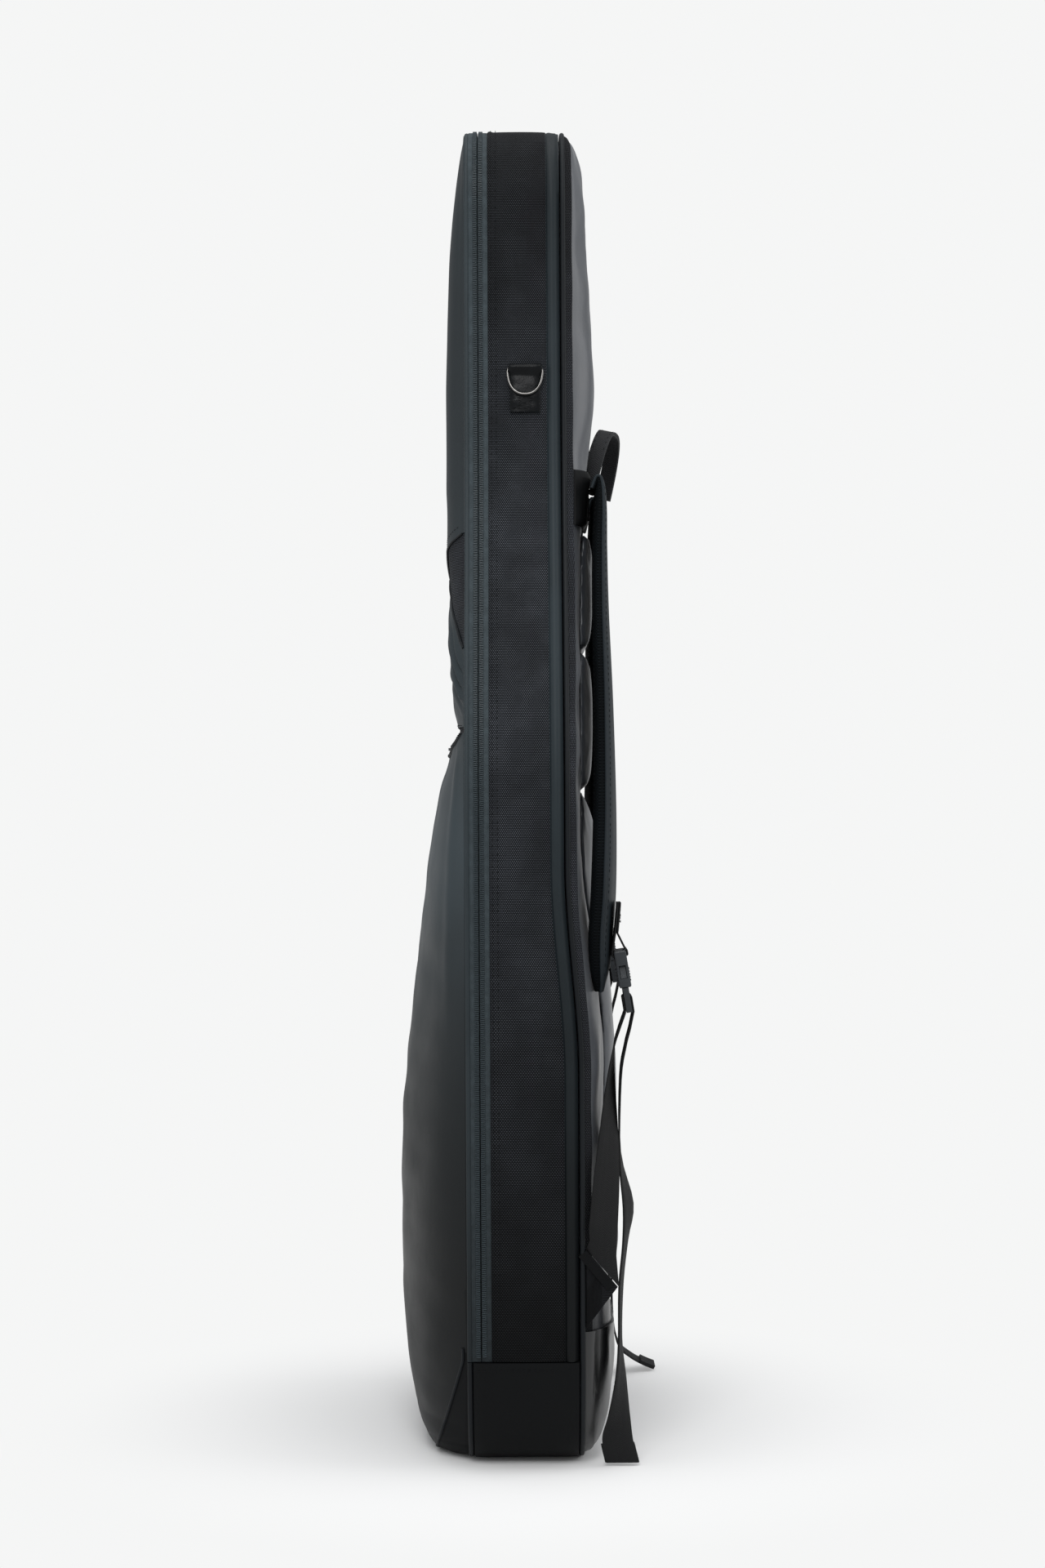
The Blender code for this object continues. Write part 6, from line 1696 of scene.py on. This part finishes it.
def build_webbing():
    """Adjusting webbing with its loose tails, and the triangles that hold its lower ends."""
    size = sizes()
    gap = WEB_GAP + size.web_thickness / 2
    half_bar, bar_top, foot = 0.0022, -0.0361, -0.0468
    around = [(-half_bar - gap, foot), *corner_turn((-half_bar, bar_top), gap, 180, 90),
              *corner_turn((half_bar, bar_top), gap, 90, 0), (half_bar + gap, foot)]
    for label, side in SIDES:
        low, high, tip = lower_corners(side)
        edge = tip - high
        away = unit(np.cross((1.0, 0.0, 0.0), edge)[None, :])[0]
        start = high + edge / 2 + away * 0.0006
        load, load_halves = webbing_route(LOAD_ROUTE_SHARES, side)
        tail, tail_halves = webbing_route(TAIL_START_SHARES + TAIL_ROUTE_SHARES[label], side)
        loop = in_buckle(side, around)
        loop_halves = joined(-side * size.web_half_width, 0.0, np.zeros(len(loop)))
        first = edge * (size.web_half_width / edge[1])
        path = np.vstack([start, load, loop, tail])
        halves = np.vstack([first, load_halves, loop_halves, tail_halves])
        along = travelled(path)
        places = np.unique(np.round(np.append(along, (along[1:] + along[:-1]) / 2), 6))
        path, halves = read_off(places, along, path), read_off(places, along, halves)
        halves = unit(halves) * size.web_half_width
        halves[0] = first
        web = ribbon("strap_web_" + label, path, halves, size.web_thickness)
        dress(web, "bag", "webbing", "adjuster_web_" + label)

        # Folded and sewn end of the tail
        along = travelled(path)
        hem = along > along[-1] - 0.0175
        fold = ribbon("strap_web_end_" + label, path[hem], halves[hem] * 1.07, 0.0030,
                      lift=0.0012)
        dress(fold, "bag", "webbing")

        # Canvas triangle, bound and stitched along the edge that takes the webbing
        corners = np.array((low, (low + high) / 2, high, (high + tip) / 2, tip,
                            (tip + low) / 2))
        middle = (low + high + tip) / 3
        rings = [middle + (corners - middle) * (1 - 0.035 * abs(way) ** 4)
                 + (0.0011 * way, 0.0, 0.0) for way in np.linspace(-1, 1, 5)]
        wing = sweep("strap_wing_" + label, rings, ["canvas"], sharp=50.0)
        dress(wing, "bag", "canvas", "lower_anchor_" + label)
        line = np.linspace(high, tip, 12)
        band = ribbon("strap_wing_band_" + label, line[:-1] - away * 0.0038, -away * 0.0038,
                      0.0036, "boot")
        dress(band, "bag", "webbing")
        lines = [(line[1:-2] - away * step + (way * 0.0019, 0.0, 0.0), (way, 0, 0))
                 for way in (-1, 1) for step in (0.0012, 0.0062)]
        stitch_piece("strap_wing_stitches_" + label, "bag", lines, "webbing")


# Hardware

def build_hardware():
    """Finishes of the buckles, sliders and pulls, and the raised grips on the buckles."""
    for name, node in frame["nodes"].items():
        if name.startswith("buckle_"):
            finish = "plastic"
        elif "slider" in name or name.endswith("_pull") or name.startswith("main_pull"):
            finish = "metal"
        else:
            continue
        node.data.materials.clear()
        node.data.materials.append(material(finish))
    centre, half = Vector((0.0, -0.0048, -0.0235)), Vector((0.0065, 0.00055, 0.0005))
    for label, side in SIDES:
        ridge = solid_box("buckle_grip_" + label, centre - half, centre + half)
        bevel(ridge, 0.0003, 3)
        for count, step in ((5, (0.0, 0.0, 0.0022)), (2, (0.0, 0.0096, 0.0))):
            row = ridge.modifiers.new("row", "ARRAY")
            row.count, row.use_relative_offset, row.use_constant_offset = count, False, True
            row.constant_offset_displace = step
            bpy.ops.object.modifier_apply(modifier=row.name)
        ridge.data.transform(buckle_frame(side))
        surface(ridge, "plastic", 50)
        dress(ridge, "bag", "buckle_plastic")


# Stage

def build_stage():
    """Pale floor, soft lamps, white surroundings and the camera."""
    scene = bpy.context.scene
    settings = scene.stage_settings
    pale = (0.915, 0.920, 0.918, 1.0)
    bpy.ops.object.select_all(action="DESELECT")
    bpy.ops.mesh.primitive_plane_add(size=30.0, location=(0.0, 0.0, 0.0))
    floor = bpy.context.object
    floor.name = "floor"
    paper = bpy.data.materials.new("paper floor")
    tree = Nodes(paper)
    matt = tree.fill(tree.nodes["Principled BSDF"], Base_Color=(*colours().floor, 1.0),
                     Roughness=0.9, Specular_IOR_Level=0.1)
    glow = tree.add("Emission", pale)
    reach = tree.add("VectorMath", tree.add("TexCoord").outputs["Object"], operation="LENGTH")
    rays = tree.add("LightPath").outputs
    seen = tree.math("MAXIMUM", rays["Is Camera Ray"], rays["Is Glossy Ray"])
    share = tree.math("MULTIPLY", tree.between(reach.outputs["Value"], 0.10, 0.42), seen)
    blend = tree.add("MixShader", share, matt.outputs[0], glow.outputs[0])
    tree.fill(tree.nodes["Material Output"], Surface=blend.outputs[0])
    floor.data.materials.append(paper)

    scene.world = bpy.data.worlds.new("studio")
    tree = Nodes(scene.world)
    tree.nodes.clear()
    rays = tree.add("LightPath").outputs
    seen = tree.math("MAXIMUM", rays["Is Camera Ray"], rays["Is Transmission Ray"])
    soft = tree.add("Background", (0.96, 0.98, 1.0, 1.0), settings.sky)
    blend = tree.add("MixShader", seen, soft.outputs[0], tree.add("Background", pale).outputs[0])
    tree.add("OutputWorld", blend.outputs[0])

    for name, place, size, energy in (
            ("lid side lamp", (0.5, -2.0, 1.1), 1.6, settings.side_power),
            ("back side lamp", (0.3, 2.0, 1.5), 1.6, settings.side_power * 2.4),
            ("top lamp", (0.4, 0.0, 2.6), 1.6, settings.top_power),
            ("camera lamp", (2.3, -0.3, 2.3), 1.2, settings.face_power)):
        lamp = bpy.data.lights.new(name, "AREA")
        lamp.shape, lamp.size, lamp.energy = "SQUARE", size, energy
        holder = bpy.data.objects.new(name, lamp)
        holder.location = place
        aim = Vector((0.0, 0.0, 0.55)) - Vector(place)
        holder.rotation_euler = aim.to_track_quat("-Z", "Y").to_euler()
        bpy.context.collection.objects.link(holder)

    view = bpy.data.cameras.new("camera")
    view.sensor_fit, view.sensor_height, view.lens = "VERTICAL", 36.0, settings.lens
    camera = bpy.data.objects.new("camera", view)
    camera.location = (settings.camera_distance, 0.0, settings.camera_height)
    facing = Matrix(((0, 0, 1), (1, 0, 0), (0, 1, 0))).to_4x4()
    facing = facing @ Matrix.Rotation(-settings.roll, 4, "Z")
    camera.rotation_euler = facing.to_euler()
    bpy.context.collection.objects.link(camera)
    scene.camera = camera
    scene.view_settings.view_transform = "Standard"


# Operators and panel

def operator(name, label, explanation, work):
    """Operator class that runs one of the building functions."""

    def execute(self, context):
        work()
        return {"FINISHED"}

    return type("GIGBAG_OT_" + name, (bpy.types.Operator,),
                {"bl_idname": "gigbag." + name, "bl_label": label, "__doc__": explanation,
                 "bl_options": {"REGISTER", "UNDO"}, "execute": execute})


STEPS = (
    operator("materials", "Materials", "Makes the finishes of all pieces", make_materials),
    operator("gusset", "Side gusset", "Makes the canvas side", build_gusset),
    operator("main_zip", "Main zip", "Makes both halves of the zip", build_main_zip),
    operator("boot", "Boot", "Makes the plain cloth round the bottom", build_boot),
    operator("piping", "Piping", "Makes the piping of the seams", build_piping),
    operator("back", "Back", "Makes the padded back and its cushions", build_back),
    operator("inside", "Inside", "Makes the neck rest and the bumper", build_inside),
    operator("lid", "Lid", "Makes the padded lid", build_lid),
    operator("upper_pocket", "Upper pocket", "Makes the slip pocket", build_upper_pocket),
    operator("lower_pocket", "Lower pocket", "Makes the big pocket", build_lower_pocket),
    operator("rings", "D rings", "Makes the rings and their tabs", build_rings),
    operator("handles", "Handles", "Makes both handles", build_handles),
    operator("straps", "Shoulder straps", "Makes the padded straps", build_straps),
    operator("strap_tabs", "Strap tabs", "Makes the webbing at the buckles", build_strap_tabs),
    operator("webbing", "Webbing", "Makes the adjusting webbing", build_webbing),
    operator("hardware", "Hardware", "Finishes buckles and sliders", build_hardware),
    operator("stage", "Stage", "Makes the floor, the lamps and the camera", build_stage),
)


class GIGBAG_PT_panel(bpy.types.Panel):
    """Lists the bag's settings and the steps that build it"""
    bl_label = "Gig bag"
    bl_idname = "GIGBAG_PT_panel"
    bl_space_type = "VIEW_3D"
    bl_region_type = "UI"
    bl_category = "Gig bag"

    def draw(self, context):
        for title, group in (("Sizes", context.scene.bag_sizes),
                             ("Colours", context.scene.bag_colours),
                             ("Stage", context.scene.stage_settings)):
            box = self.layout.box()
            box.label(text=title)
            for name in group.__annotations__:
                box.prop(group, name)
        for step in STEPS:
            self.layout.operator(step.bl_idname)


CLASSES = (BagSizes, BagColours, StageSettings, *STEPS, GIGBAG_PT_panel)


def register():
    for kind in CLASSES:
        bpy.utils.register_class(kind)
    bpy.types.Scene.bag_sizes = PointerProperty(type=BagSizes)
    bpy.types.Scene.bag_colours = PointerProperty(type=BagColours)
    bpy.types.Scene.stage_settings = PointerProperty(type=StageSettings)


def unregister():
    del bpy.types.Scene.stage_settings
    del bpy.types.Scene.bag_colours
    del bpy.types.Scene.bag_sizes
    for kind in reversed(CLASSES):
        bpy.utils.unregister_class(kind)


def main():
    register()
    for step in STEPS:
        getattr(bpy.ops.gigbag, step.bl_idname.split(".")[1])()


if __name__ == "__main__":
    main()
